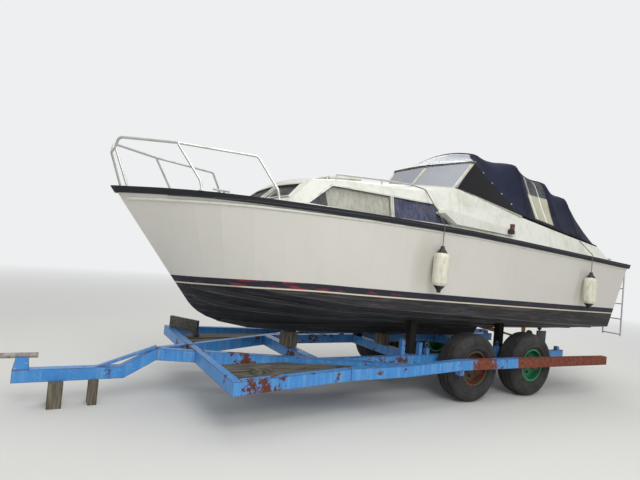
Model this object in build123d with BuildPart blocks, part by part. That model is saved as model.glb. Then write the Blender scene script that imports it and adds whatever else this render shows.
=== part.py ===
"""A cabin motor cruiser laid up ashore on its blue launching trailer, in millimetres.

+X points to the bow, +Y to port and +Z up, with z = 0 the ground under the tyres.
The trailer is drawn in this ground frame. The boat is drawn level in a frame of its own,
whose origin is on the centreline under the keel, over the trailer's middle crossbeam,
and each piece of it is then laid down on the trailer with the bow a little up.
"""
import os
from math import cos, hypot, radians, sin, sqrt, tan

from build123d import *

os.makedirs("parts", exist_ok=True)

# Where the trailer and the boat stand in the ground frame
front_beam_x = 2240      # front face of the trailer's front crossbeam
trim_angle = 1.3         # bow-up trim of the boat on the trailer, degrees
running_gap = 0.05       # radial clearance of a turning fit
seat_gap = 0.3           # clearance of a piece laid on its seat

# Trailer frame
beam_height = 118
beam_width = 80
frame_top = 518          # top of the welded frame above the ground
frame_half = 1345        # half width over the front corners
rail_half = 1140         # half width over the side rails aft of the weld
rail_line = ((-1300, 0), (-2000, 0), (-2850, 35), (-4000, 22), (-5810, -6))  # x, rise of the bent rail
rail_pocket = 180        # depth of the open tube end
tube_wall = 8
apex_x = 355             # where the two beams of the A meet the drawbar
apex_half = 50
spread = 0.429           # sideways run of each A beam for each millimetre aft
mid_beam_x = -1095       # front face of the middle crossbeam
mid_beam_length = 110
third_beam_x = -2500
rear_beam_x = -4100
inner_beam_y = 630       # inner face of the beams inboard of the wheels
inner_beam_width = 60
inner_beam_end_x = -5450

# Drawbar
low_bar_top = 350
low_bar_front_x = 1583
low_bar_rear_x = 680
low_bar_height = 115
brace_foot_x = 905
brace_thickness = 22
upright_length = 130
upright_rise = 98
tow_tube_radius = 24
tow_tube_rear_x = 1390
eye_centre_x = 1960
eye_radius = 55
eye_bore = 25
eye_thickness = 34
block_rows = ((1228, 120, 230), (910, 80, 160))  # timber props: centre x, length, width

# Lashing posts on the inner beams: centre x, height over the beam
post_rows = ((-2330, 202), (-2600, 152), (-2720, 82), (-4000, 82), (-5330, 52))
ringed_posts = post_rows[2:4]
post_size = 54
ring_radius = 24
ring_bar = 6
socket_x = -2850         # square socket welded under the rail, at its bend
socket_half = 35
socket_drop = 58

# Timber: planks wedged in the front bays, a board on edge, chocks under the bilges
plank_rows = ((560, 138, 436), (712, 138, 444), (864, 136, 434))   # inner y, width, underside z
plank_thickness = 28
edge_board = ((-40, -1190), (-280, -780))
edge_board_height = 150
edge_board_thickness = 35
loose_block = (-430, 925, 230, 84, 62)   # centre x, centre y, length, width, height
chock_y = 560
chock_size = 90

# Wheels: two on each side, one behind the other
wheel_xs = {"front": -3205, "rear": -4293}
wheel_y = 884
tyre_radius = 412
tyre_width = 300
bead_radius = 200
rim_lip = 213
rim_width = 244
rim_wall = 9
hub_radius = 72
hub_half = 62
axle_radius = 30
hanger_length = 120
hanger_thickness = 12
hanger_drop = 52

# Hull lines in the boat's frame. Each row is a plane from the keel up to the sheer:
# keel x, keel z, sheer x, sheer z, chine height as a share of the plane, chine y, sheer y
hull_rows = (
    (-4829, 150, -5082, 1380, 0.163, 1000, 1130),
    (-3300, 125, -3300, 1430, 0.192, 1050, 1200),
    (-1600, 100, -1600, 1460, 0.228, 1050, 1205),
    (-200, 72, -200, 1460, 0.270, 990, 1120),
    (450, 66, 655, 1460, 0.313, 800, 940),
    (900, 95, 1275, 1450, 0.321, 490, 745),
    (1130, 190, 1745, 1440, 0.281, 215, 390),
    (1235, 280, 2142, 1430, 0.235, 20, 20),
)
hull_places = (-5082, -4200, -3300, -2450, -1600, -900, -200, 230, 655, 970, 1275, 1510, 1745, 1950, 2142)
hull_wall = 14
transom_wall = 30
stem_solid = 60          # solid glassfibre left behind the stem
# Crown of the deck along the boat: x, z on the centreline
crown_rows = ((-5500, 1350), (-3300, 1403), (-1600, 1440), (-200, 1437), (900, 1420), (1700, 1391), (2400, 1352))
deck_places = (-5500, -4400, -3300, -2450, -1600, -900, -200, 350, 900, 1300, 1700, 2050, 2400)
camber_half = 1200       # half width at which the camber is measured
camber_drop = 45
deck_thickness = 16
strake_height = 62
strake_out = 26
skeg_width = 70
skeg_front_x = 640
skeg_end_x = -3050
skeg_slope = 130
spray_shares = (0.74, 0.42)   # spray strakes along the bottom, as a share of the way to the chine
spray_width = 52
spray_foot = 3           # how far a strake's inner edge stands off the bottom
spray_root = 5           # how far its top is let into the bottom
spray_start = 60         # the strakes stop this far short of the transom

# Cabin trunk, rows from the bow aft: x, half width at the deck, shoulder y, shoulder z, crown z
cabin_rows = (
    (600, 860, 835, 1415, 1448),
    (285, 900, 705, 1700, 1752),
    (-150, 930, 745, 1752, 1832),
    (-1000, 1000, 815, 1795, 1935),
    (-1540, 1072, 930, 1898, 1992),
)
cabin_wall = 22
cabin_foot = 1330        # the lofts start below the deck and are trimmed to it
window_wall = 7
window_inset = 6
trim_width = 16
trim_proud = 6
curtain_inset = 40
curtain_thickness = 8
side_window_fore = ((372, 1428), (70, 1664), (-640, 1664), (-612, 1428))
side_window_aft = ((-652, 1428), (-680, 1664), (-1209, 1660), (-1392, 1440))
front_window = ((48, 1490), (48, 1668), (600, 1646), (700, 1490))
hatch_x = -420           # centre of the roof hatch
hatch_size = 460
hatch_thickness = 24
hatch_open = 400
hatch_lift = 14          # the lid's seat over the crown of the roof
hatch_pin = 5
hatch_hinge_y = 150
hatch_leaf = 34

# Cockpit coaming, rows from the windscreen aft: x, foot y, top y, top z
coaming_rows = (
    (-1564, 1076, 930, 1898),
    (-2540, 1110, 985, 1728),
    (-3500, 1110, 1000, 1612),
    (-4460, 1085, 990, 1515),
    (-4660, 1070, 985, 1420),
)
coaming_thickness = 60
aft_coaming_x = -4400
step_outline = ((-1225, 1555), (-1262, 1598), (-2480, 1500), (-2420, 1438), (-1430, 1452))
step_out = 1105
track_height = 18
track_width = 22

# Cockpit
sole_z = 620
sole_thickness = 20
cockpit_front_x = -1600
cockpit_aft_x = -4380
cockpit_half = 868
liner_thickness = 18
bulkhead_thickness = 24
door_width = 520
door_sill = 90
door_height = 1000
door_thickness = 22
door_gap = 6
door_pin = 6
cabin_sole_x = 0
cabin_sole_half = 600
dash_inner_y = -330
dash_outline = ((-1564, 1180), (-1564, 1600), (-1760, 1600), (-1904, 1350), (-1900, 1260), (-1770, 1180))
helm_radius = 180
helm_rim = 14
helm_shaft = 12
helm_reach = 90
helm_tilt = 60           # tilt of the helm's shaft from vertical, degrees
seat_x = -2720
seat_length = 480
seat_inner_y = 350
seat_outer_y = 835
seat_height = 430
seat_cushion = 90
back_height = 470
bench_x = -4361
bench_length = 460

# Windscreen: foot and head of each post
corner_foot = (-1402, 272, 1968)
corner_head = (-1585, 325, 2250)
aft_foot = (-1560, 860, 1913)
aft_head = (-1950, 775, 2318)
quarter_pane = ((-1580, 865, 1925), (-1960, 775, 2310), (-2650, 985, 1722))
frame_bar = 26
pane_thickness = 8

# Canopy hoops, from the front: x, foot y, foot z, shoulder y, shoulder z, crown z
canopy_rows = (
    (-1598, 350, 2225, 325, 2266, 2276),
    (-1965, 800, 2290, 740, 2350, 2420),
    (-2170, 950, 1815, 640, 2480, 2585),
    (-2880, 985, 1720, 690, 2478, 2580),
    (-3510, 1000, 1640, 710, 2335, 2450),
    (-3930, 1000, 1595, 760, 2180, 2290),
    (-4440, 985, 1530, 930, 1545, 1580),
)
canopy_thickness = 8
hoop_radius = 11
screen_cut = ((-1400, 1500), (-1400, 2229), (-1585, 2264), (-1950, 2332), (-2670, 1712), (-2690, 1500))
clear_roof_end_x = -2150
clear_window = ((-3180, 2290), (-3560, 2220), (-3700, 1690), (-3330, 1720))

# Pulpit and rails
tube_radius = 13
pulpit_side = ((705, 868, 1398), (728, 850, 1500), (925, 735, 1802), (1650, 520, 1812), (2122, 200, 1815),
               (2138, 170, 1722), (2000, 215, 1375))
pulpit_mid = ((1405, 655, 1394), (1425, 625, 1490), (1640, 524, 1800))
grab_points = ((-50, 620, 1822), (-650, 640, 1868), (-1120, 622, 1892))
grab_radius = 11
cleat_points = ((1180, 520), (-4850, 930))
lamp_point = (-2334, 1150, 1474)

# Fenders hanging over the side: x, distance off the centreline, top of the cone z
fender_rows = {"fore": (-1130, 1217, 1170), "aft": (-3965, 1212, 1119)}
fender_radius = 84
fender_length = 420
fender_cone = 88
rope_radius = 5
rope_bend = 25
# Each rope from its fastening: over the roof's edge and the strake, or off the coaming and over the strake
rope_rows = {"fore": ((-1130, 636, 1887), (-1130, 846, 1825), (-1130, 1217, 1408)),
             "aft": ((-3965, 1006.4, 1552), (-3965, 1212, 1360))}

# Drive and steering under the stern
shaft_angle = 10
prop_x = -4420
prop_z = -60
prop_radius = 165
prop_hub = 34
prop_length = 76
shaft_radius = 16
blade_rows = ((20, 70, 50), (90, 108, 38), (140, 96, 28), (165, 44, 25))   # radius, chord, pitch
blade_thickness = 7
bush_x = (-3160, -3560)  # stern bush through the hull, front and rear
bush_radius = 32
shaft_front_x = -3120
bracket_x = -4290
rudder_x = -4700
stock_radius = 15
rudder_fore = 75
rudder_chord = 260
rudder_top = 100
rudder_foot = -235
rudder_thickness = 26
engine_x = (-3420, -2600)
engine_half = 300
engine_z = (300, 590)
bearer_y = 230
bearer_width = 60

# Boarding ladder on the port quarter
ladder_ys = (690, 960)
ladder_x = -5300
ladder_top = 1330
ladder_foot = 205
ladder_rungs = (232, 470, 710, 950)
ladder_tube = 11
ladder_rung = 9.5
ladder_pin = 7
bracket_outline = ((-5020, 1190), (-5020, 1262), (-5285, 1346), (-5316, 1346), (-5316, 1312), (-5285, 1290))

boat_x = mid_beam_x - mid_beam_length / 2   # the boat's own origin along the trailer
keel_rest_z = 689                           # underside of the keel above the ground there
on_ground = Location((front_beam_x, 0, 0))
laid_down = Location((front_beam_x + boat_x, 0, keel_rest_z), (0, -trim_angle, 0))


def keel_height(x):
    """Height of the keel's underside over the ground at a place along the trailer."""
    return keel_rest_z + (x - boat_x) * tan(radians(trim_angle))


def save(name, piece, place):
    """Set a finished piece in its place and write it."""
    piece.part = piece.part.moved(place)
    piece.part.label = name
    export_step(piece.part, f"parts/{name}.step")


def plate(points, plane, start, end, grow=0):
    """A straight prism of a polygon, grown all round, between two heights over its plane."""
    with BuildPart(mode=Mode.PRIVATE) as piece:
        with BuildSketch(plane.offset(start)):
            with BuildLine():
                Polyline(*points, close=True)
            make_face()
            if grow:
                offset(amount=grow, kind=Kind.INTERSECTION)
        extrude(amount=end - start)
    return piece.part


def side_plate(points, y0, y1, grow=0):
    """A prism of an outline in side view (x, z), from y0 out to y1."""
    return plate(points, Plane.XZ, -y1, -y0, grow)


def cross_plate(points, x0, x1, grow=0):
    """A prism of an outline seen along the boat (y, z), from x0 to x1."""
    return plate(points, Plane.YZ, x0, x1, grow)


def block(x0, x1, y0, y1, z0, z1):
    """A box between two corners."""
    return plate(((x0, y0), (x1, y0), (x1, y1), (x0, y1)), Plane.XY, z0, z1)


def rod(start, end, radius):
    """A round bar between two points."""
    run = Vector(*end) - Vector(*start)
    with BuildPart(mode=Mode.PRIVATE) as piece:
        with BuildSketch(Plane(origin=start, z_dir=run)):
            Circle(radius)
        extrude(amount=run.length)
    return piece.part


def bar(start, end, width, depth, up=(0, 0, 1)):
    """A rectangular bar between two points, its depth measured towards up."""
    run = Vector(*end) - Vector(*start)
    with BuildPart(mode=Mode.PRIVATE) as piece:
        with BuildSketch(Plane(origin=start, x_dir=run.cross(Vector(*up)), z_dir=run)):
            Rectangle(width, depth)
        extrude(amount=run.length)
    return piece.part


def bent_tube(points, radius, bend):
    """A round tube along straight runs, bent at each corner."""
    with BuildPart(mode=Mode.PRIVATE) as piece:
        with BuildLine() as path:
            FilletPolyline(*points, radius=bend)
        with BuildSketch(Plane(origin=path.line @ 0, z_dir=path.line % 0)):
            Circle(radius)
        sweep(path=path.line)
    return piece.part


def cross(points):
    """The same points on the other side of the centreline."""
    return [(*x, -y, z) for *x, y, z in points]


def between(rows, x, column):
    """A value read straight between two rows that run aft."""
    for (x0, a), (x1, b) in zip([(r[0], r[column]) for r in rows], [(r[0], r[column]) for r in rows[1:]]):
        if x0 >= x >= x1:
            return a + (b - a) * (x0 - x) / (x0 - x1)


# The trailer

frame_bottom = frame_top - beam_height
rail_weld_x, rail_end_x = rail_line[0][0], rail_line[-1][0]
rail_inner = rail_half - beam_width
a_width = beam_width * sqrt(1 + spread ** 2)
front_rail_slope = (frame_half - rail_half) / -rail_weld_x


def a_edge(x):
    """Half width of the A over its outer faces."""
    return apex_half + spread * (apex_x - x)


def a_inner_x(y):
    """Where the inner face of an A beam is at this half width."""
    return apex_x - (y + a_width - apex_half) / spread


with BuildPart() as side_rails:
    top = [(x, frame_top + rise) for x, rise in rail_line]
    bottom = [(x, z - beam_height) for x, z in reversed(top)]
    add(side_plate(top + bottom, rail_inner, rail_half))
    front_outer = frame_half - front_rail_slope * beam_width
    add(plate(((-beam_width, front_outer), (rail_weld_x, rail_half), (rail_weld_x, rail_inner),
               (-beam_width, front_outer - beam_width)), Plane.XY, frame_bottom, frame_top))
    with BuildSketch(Plane.YZ.offset(rail_end_x)):
        with Locations((rail_half - beam_width / 2, top[-1][1] - beam_height / 2)):
            Rectangle(beam_width - 2 * tube_wall, beam_height - 2 * tube_wall)
    extrude(amount=rail_pocket, mode=Mode.SUBTRACT)
    mirror(about=Plane.XZ)

with BuildPart() as cross_beams:
    add(block(-beam_width, 0, -frame_half, frame_half, frame_bottom, frame_top))
    mid_rear_x = mid_beam_x - mid_beam_length
    mid_half, mid_rear_half = (a_edge(x) - a_width for x in (mid_beam_x, mid_rear_x))
    add(plate(((mid_beam_x, -mid_half), (mid_beam_x, mid_half), (mid_rear_x, mid_rear_half),
               (mid_rear_x, -mid_rear_half)), Plane.XY, frame_bottom, frame_top))
    for x in (third_beam_x, rear_beam_x):
        add(block(x - beam_width, x, -inner_beam_y, inner_beam_y, frame_bottom, frame_top))

with BuildPart() as a_frame:
    front_half = a_edge(0)
    hole_x = apex_x - (a_width - apex_half) / spread
    with BuildSketch(Plane.XY.offset(frame_bottom)):
        with BuildLine():
            Polyline((0, front_half), (apex_x, apex_half), (apex_x, -apex_half), (0, -front_half), close=True)
        make_face()
        with BuildLine():
            Polyline((0, front_half - a_width), (hole_x, 0), (0, a_width - front_half), close=True)
        make_face(mode=Mode.SUBTRACT)
    extrude(amount=beam_height)
    rear_half = a_edge(-beam_width)
    outer_x = apex_x - (rail_inner - apex_half) / spread
    leg = ((-beam_width, rear_half), (outer_x, rail_inner), (a_inner_x(rail_inner), rail_inner),
           (-beam_width, rear_half - a_width))
    add(plate(leg, Plane.XY, frame_bottom, frame_top))
    add(plate([(x, -y) for x, y in leg], Plane.XY, frame_bottom, frame_top))

with BuildPart() as inner_beams:
    outer_y = inner_beam_y + inner_beam_width
    add(plate(((a_inner_x(inner_beam_y), inner_beam_y), (a_inner_x(outer_y), outer_y),
               (inner_beam_end_x, outer_y), (inner_beam_end_x, inner_beam_y)),
              Plane.XY, frame_bottom, frame_top))
    mirror(about=Plane.XZ)
    add(cross_beams.part, mode=Mode.SUBTRACT)

low_bar_bottom = low_bar_top - low_bar_height
upright_top = low_bar_top + upright_rise
tow_tube_z = upright_top + tow_tube_radius
with BuildPart() as drawbar:
    add(side_plate(((apex_x, frame_top), (low_bar_rear_x, low_bar_top), (low_bar_front_x, low_bar_top),
                    (low_bar_front_x, low_bar_bottom), (low_bar_rear_x - 30, low_bar_bottom),
                    (apex_x, frame_bottom)), -apex_half, apex_half))
    upright_rear_x = low_bar_front_x - upright_length
    add(side_plate(((upright_rear_x, low_bar_top), (low_bar_front_x, low_bar_top),
                    (low_bar_front_x - 20, tow_tube_z - 8), (upright_rear_x + 12, tow_tube_z - 8)),
                   -apex_half + 8, apex_half - 8))
    add(side_plate(((brace_foot_x, low_bar_top), (brace_foot_x - 3 * brace_thickness, low_bar_top),
                    (apex_x + 17, frame_top - 9), (apex_x, frame_top), (apex_x, frame_top + brace_thickness)),
                   -apex_half + 20, apex_half - 20))
    add(rod((tow_tube_rear_x, 0, tow_tube_z), (eye_centre_x, 0, tow_tube_z), tow_tube_radius + seat_gap),
        mode=Mode.SUBTRACT)

with BuildPart() as tow_tube:
    add(rod((tow_tube_rear_x, 0, tow_tube_z), (eye_centre_x - eye_bore - 8, 0, tow_tube_z), tow_tube_radius))
    with BuildSketch(Plane.XY.offset(tow_tube_z - eye_thickness / 2)):
        with Locations((eye_centre_x, 0)):
            Circle(eye_radius)
    extrude(amount=eye_thickness)
    with Locations((eye_centre_x, 0, tow_tube_z + eye_thickness / 2)):
        Hole(eye_bore, depth=eye_thickness)

with BuildPart() as prop_blocks:
    for x, length, width in block_rows:
        add(block(x - length / 2, x + length / 2, -width / 2, width / 2, 0, low_bar_bottom - seat_gap))

hub_z = tyre_radius
with BuildPart() as axles:
    for x in wheel_xs.values():
        for y in (outer_y, rail_inner - hanger_thickness):
            add(block(x - hanger_length / 2, x + hanger_length / 2, y, y + hanger_thickness,
                      hub_z - hanger_drop, hub_z + hanger_drop))
        add(rod((x, outer_y + hanger_thickness / 2, hub_z), (x, rail_inner - hanger_thickness / 2, hub_z),
                axle_radius))
    mirror(about=Plane.XZ)

rim_half = rim_width / 2
bead_half = rim_half - rim_wall
tyre_half = tyre_width / 2
with BuildPart() as tyre_form:
    with BuildSketch(Plane.XY):
        with BuildLine():
            Polyline((bead_radius, -bead_half), (rim_lip + seat_gap, -bead_half), (rim_lip + 45, -tyre_half),
                     (tyre_radius - 78, -tyre_half), (tyre_radius - 24, -tyre_half + 26),
                     (tyre_radius, -tyre_half + 72), (tyre_radius, tyre_half - 72),
                     (tyre_radius - 24, tyre_half - 26), (tyre_radius - 78, tyre_half),
                     (rim_lip + 45, tyre_half), (rim_lip + seat_gap, bead_half), (bead_radius, bead_half),
                     close=True)
        make_face()
    revolve(axis=Axis.Y)

barrel_radius = bead_radius - rim_wall
bore_radius = axle_radius + running_gap
with BuildPart() as rim_form:
    with BuildSketch(Plane.XY):
        with BuildLine():
            Polyline((bore_radius, -hub_half), (hub_radius, -hub_half), (hub_radius, 28), (150, 40),
                     (barrel_radius, 40), (barrel_radius, -rim_half), (rim_lip, -rim_half),
                     (rim_lip, -bead_half), (bead_radius, -bead_half), (bead_radius, bead_half),
                     (rim_lip, bead_half), (rim_lip, rim_half), (barrel_radius, rim_half),
                     (barrel_radius, 40 + rim_wall), (146, 40 + rim_wall), (hub_radius, 28 + rim_wall),
                     (hub_radius, hub_half), (bore_radius, hub_half), close=True)
        make_face()
    revolve(axis=Axis.Y)

# Timber on the frame: keel blocks on the crossbeams, chocks under the bilges, boards in the bays

keel_block_rows = ((boat_x, 150, 170), (third_beam_x - beam_width / 2, 110, 170),
                   (rear_beam_x - beam_width / 2, 110, 170))   # centre x, length, width
with BuildPart() as keel_blocks:
    for x, length, width in keel_block_rows:
        lowest = keel_height(x - length / 2) - seat_gap
        add(block(x - length / 2, x + length / 2, -width / 2, width / 2, frame_top, lowest))

with BuildPart() as boards:
    for inner_y, width, low in plank_rows:
        y1 = inner_y + width
        rear_x0, rear_x1 = (apex_x - (y - apex_half) / spread for y in (inner_y, y1))
        add(plate(((-beam_width, inner_y), (-beam_width, y1), (rear_x1, y1), (rear_x0, inner_y)),
                  Plane.XY, low, low + plank_thickness))
    mirror(about=Plane.XZ)
    centre_z = frame_top + edge_board_height / 2
    add(bar((*edge_board[0], centre_z), (*edge_board[1], centre_z), edge_board_thickness, edge_board_height))
    packer_x, packer_y = edge_board[1]
    add(block(packer_x - 20, packer_x + 40, packer_y - 60, packer_y + 20, plank_rows[1][2] + plank_thickness,
              frame_top))
    x, y, length, width, height = loose_block
    with Locations(Location((x, y, plank_rows[2][2] + plank_thickness + height / 2), (0, 0, 24))):
        Box(length, width, height)

with BuildPart() as lashing_posts:
    post_y = inner_beam_y + inner_beam_width / 2
    for x, height in post_rows:
        add(block(x - post_size / 2, x + post_size / 2, post_y - post_size / 2, post_y + post_size / 2,
                  frame_top, frame_top + height))
    for x, height in ringed_posts:
        ring_z = frame_top + height + 14 + ring_radius
        add(rod((x, post_y, frame_top + height), (x, post_y, ring_z - ring_radius), ring_bar))
        ring = Torus(ring_radius, ring_bar, mode=Mode.PRIVATE)
        add(Location((x, post_y, ring_z), (90, 0, 0)) * ring)
    socket_tops = [(x, between(rail_line, x, 1) + frame_bottom)
                   for x in (socket_x - socket_half, socket_x, socket_x + socket_half)]
    low = frame_bottom + between(rail_line, socket_x, 1) - socket_drop
    centre_y = rail_half - beam_width / 2
    socket = socket_tops + [(socket_x + socket_half, low), (socket_x - socket_half, low)]
    add(side_plate(socket, centre_y - socket_half, centre_y + socket_half))
    add(block(socket_x - socket_half + 9, socket_x + socket_half - 9, centre_y - socket_half + 9,
              centre_y + socket_half - 9, low, low + socket_drop - 14), mode=Mode.SUBTRACT)
    mirror(about=Plane.XZ)

save("side_rails", side_rails, on_ground)
save("cross_beams", cross_beams, on_ground)
save("a_frame", a_frame, on_ground)
save("inner_beams", inner_beams, on_ground)
save("drawbar", drawbar, on_ground)
save("tow_tube", tow_tube, on_ground)
save("prop_blocks", prop_blocks, on_ground)
save("axles", axles, on_ground)
save("keel_blocks", keel_blocks, on_ground)
save("boards", boards, on_ground)
save("lashing_posts", lashing_posts, on_ground)

for row, x in wheel_xs.items():
    for side, y in (("port", wheel_y), ("starboard", -wheel_y)):
        turned = Location((x, y, hub_z), (0, 0, 0 if y > 0 else 180))
        for name, form in (("tyre", tyre_form), ("rim", rim_form)):
            with BuildPart() as piece:
                add(form.part.moved(turned))
            save(f"{name}_{row}_{side}", piece, on_ground)


# The boat: hull, deck and strake, all cut from the same lines


def hull_plane(keel_x, keel_z, sheer_x, sheer_z):
    """The plane of one hull section, drawn across the boat and up from the keel."""
    return Plane(origin=(keel_x, 0, keel_z), x_dir=(0, 1, 0),
                 z_dir=(sheer_z - keel_z, 0, keel_x - sheer_x))


def faired(rows, at, column):
    """The rows again at the places given, each value on a smooth curve over one column."""
    places = [row[column] for row in rows]
    slopes = []
    for i in range(len(rows)):
        before, after = max(i - 1, 0), min(i + 1, len(rows) - 1)
        slopes.append([(b - a) / (places[after] - places[before]) for a, b in zip(rows[before], rows[after])])
    result = []
    for place in at:
        i = max(k for k in range(len(rows) - 1) if places[k] <= place)
        span = places[i + 1] - places[i]
        t = (place - places[i]) / span
        weights = (2 * t ** 3 - 3 * t ** 2 + 1, t ** 3 - 2 * t ** 2 + t, 3 * t ** 2 - 2 * t ** 3, t ** 3 - t ** 2)
        result.append([weights[0] * a + weights[1] * span * slope_a + weights[2] * b + weights[3] * span * slope_b
                       for a, b, slope_a, slope_b in zip(rows[i], rows[i + 1], slopes[i], slopes[i + 1])])
    return result


hull_stations = faired(hull_rows, hull_places, 2)
deck_stations = faired(crown_rows, deck_places, 0)


def hull_loft(out=0, lift=0, ends=(0, 0)):
    """The hull's form, swollen by out, its keel raised by lift, its ends moved aft and forward."""
    with BuildPart(mode=Mode.PRIVATE) as form:
        for index, (keel_x, keel_z, sheer_x, sheer_z, share, chine_y, sheer_y) in enumerate(hull_stations):
            shift = ends[0] if index == 0 else ends[1] if index == len(hull_stations) - 1 else 0
            length = hypot(sheer_x - keel_x, sheer_z - keel_z)
            chine = length * share + 0.55 * lift
            with BuildSketch(hull_plane(keel_x + shift, keel_z, sheer_x + shift, sheer_z)):
                with BuildLine():
                    Polyline((0, lift), (chine_y + out, chine), (sheer_y + out, length),
                             (-sheer_y - out, length), (-chine_y - out, chine), close=True)
                make_face()
        loft(ruled=True)
    return form.part


def spray_loft(share):
    """One spray strake along the port bottom: flat underneath, its outer edge upright."""
    with BuildPart(mode=Mode.PRIVATE) as form:
        for index, (keel_x, keel_z, sheer_x, sheer_z, chine_share, chine_y, _) in enumerate(hull_stations[:-2]):
            shift = spray_start if index == 0 else 0
            rise = hypot(sheer_x - keel_x, sheer_z - keel_z) * chine_share / chine_y
            inner = share * chine_y
            outer = inner + spray_width * min(1, chine_y / 420)
            with BuildSketch(hull_plane(keel_x + shift, keel_z, sheer_x + shift, sheer_z)):
                with BuildLine():
                    Polyline((inner, inner * rise - spray_foot), (outer, inner * rise - spray_foot),
                             (outer, outer * rise + spray_root), (inner, inner * rise + spray_root), close=True)
                make_face()
        loft(ruled=True)
    return form.part


def deck_layer(low, high):
    """The space between two heights over the cambered deck line."""
    wide = camber_half * 1.2
    drop = camber_drop * 1.2 ** 2
    with BuildPart(mode=Mode.PRIVATE) as form:
        for x, crown in deck_stations:
            with BuildSketch(Plane.YZ.offset(x)):
                with BuildLine():
                    ThreePointArc((-wide, crown - drop + low), (0, crown + low), (wide, crown - drop + low))
                    Line((wide, crown - drop + low), (wide, crown - drop + high))
                    ThreePointArc((wide, crown - drop + high), (0, crown + high), (-wide, crown - drop + high))
                    Line((-wide, crown - drop + high), (-wide, crown - drop + low))
                make_face()
        loft(ruled=True)
    return form.part


def cabin_loft(inset):
    """The cabin trunk's form, drawn in from its outside by inset."""
    slope_inset = 1.4 * inset
    with BuildPart(mode=Mode.PRIVATE) as form:
        for index, (x, foot_y, shoulder_y, shoulder_z, crown_z) in enumerate(cabin_rows):
            start = x - slope_inset if index < 2 else x
            with BuildSketch(Plane.YZ.offset(start)):
                with BuildLine():
                    Polyline((-shoulder_y + inset, shoulder_z - inset), (-foot_y + inset, cabin_foot),
                             (foot_y - inset, cabin_foot), (shoulder_y - inset, shoulder_z - inset))
                    ThreePointArc((shoulder_y - inset, shoulder_z - inset), (0, crown_z - inset),
                                  (-shoulder_y + inset, shoulder_z - inset))
                make_face()
        loft(ruled=True)
    return form.part


hull_form = hull_loft()
hull_inside = hull_loft(-hull_wall, 1.15 * hull_wall, (transom_wall, -stem_solid))
strake_form = hull_loft(strake_out, 0, (-strake_out, strake_out))
over_deck = deck_layer(0, 900)
cabin_outside = cabin_loft(0)
cabin_inside = cabin_loft(cabin_wall)
cabin_end_x = cabin_rows[-1][0]
cockpit_hole = block(cockpit_aft_x, cabin_end_x, -cockpit_half, cockpit_half, sole_z, 1600)

shaft_run = Vector(cos(radians(shaft_angle)), 0, sin(radians(shaft_angle)))
prop_centre = Vector(prop_x, 0, prop_z)


def on_shaft(x):
    """The point of the shaft's line at a place along the boat."""
    return prop_centre + shaft_run * ((x - prop_x) / shaft_run.X)


with BuildPart() as hull:
    add(hull_form)
    skeg = side_plate(((skeg_front_x, 160), (skeg_front_x + 260, 92), (skeg_front_x - 100, 30), (-160, 0),
                       (skeg_end_x, 0), (skeg_end_x - skeg_slope, 160)), -skeg_width / 2, skeg_width / 2)
    add(skeg)
    for share in spray_shares:
        strip = spray_loft(share)
        add(strip)
        add(strip.mirror(Plane.XZ))
    add(hull_inside, mode=Mode.SUBTRACT)
    add(deck_layer(-deck_thickness, 900), mode=Mode.SUBTRACT)
    for y in (-bearer_y, bearer_y):
        bearer = block(engine_x[0] - 150, engine_x[1] + 150, y - bearer_width / 2, y + bearer_width / 2,
                       90, engine_z[0] - seat_gap)
        add(bearer & hull_inside)
    add(rod((rudder_x, 0, rudder_top + 20), (rudder_x, 0, 420), stock_radius + 16))
    add(rod((rudder_x, 0, 0), (rudder_x, 0, 500), stock_radius + running_gap), mode=Mode.SUBTRACT)
    add(rod(on_shaft(bush_x[1]), on_shaft(bush_x[0]), bush_radius), mode=Mode.SUBTRACT)

with BuildPart() as bilge_chocks:
    for x in (third_beam_x - beam_width / 2, rear_beam_x - beam_width / 2):
        add(block(x - chock_size / 2, x + chock_size / 2, chock_y - chock_size / 2, chock_y + chock_size / 2,
                  frame_top, 1150))
    mirror(about=Plane.XZ)
    resting = Location((boat_x, 0, keel_rest_z - seat_gap), (0, -trim_angle, 0))
    add(hull_form.moved(resting), mode=Mode.SUBTRACT)
save("bilge_chocks", bilge_chocks, on_ground)

with BuildPart() as deck:
    add(deck_layer(-deck_thickness, 0) & hull_form)
    add(cabin_inside, mode=Mode.SUBTRACT)
    add(cockpit_hole, mode=Mode.SUBTRACT)

with BuildPart() as rubbing_strake:
    add(strake_form & deck_layer(-strake_height, 0))
    add(hull_form, mode=Mode.SUBTRACT)

# Cabin trunk with its windows, and the bulkhead behind it


def side_prisms(points, grow=0):
    """Cutters for one cabin window, on both sides."""
    return [side_plate(points, 500, 1300, grow), side_plate(points, -1300, -500, grow)]


def front_prisms(grow=0):
    """Cutters for the two panes of the cabin front."""
    return [cross_plate(points, 200, 700, grow) for points in (front_window, cross(front_window))]


side_cuts = side_prisms(side_window_fore) + side_prisms(side_window_aft)
roof_rise = (cabin_rows[3][4] - cabin_rows[2][4]) / (cabin_rows[2][0] - cabin_rows[3][0])
hatch_base_z = between(cabin_rows, hatch_x, 4) + hatch_lift
hatch_plane = Plane(origin=(hatch_x, 0, hatch_base_z), x_dir=(1, 0, -roof_rise), z_dir=(roof_rise, 0, 1))
hinge_line_x = hatch_size / 2 + hatch_pin + 6


def on_hatch(x0, x1, y0, y1, z0, z1):
    """A box between two corners of the hatch's own plane."""
    return plate(((x0, y0), (x1, y0), (x1, y1), (x0, y1)), hatch_plane, z0, z1)


def hatch_rod(y0, y1, radius):
    """A round bar on the line of the hatch's hinge."""
    return rod(hatch_plane.from_local_coords((hinge_line_x, y0, hatch_pin + 4)),
               hatch_plane.from_local_coords((hinge_line_x, y1, hatch_pin + 4)), radius)


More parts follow.
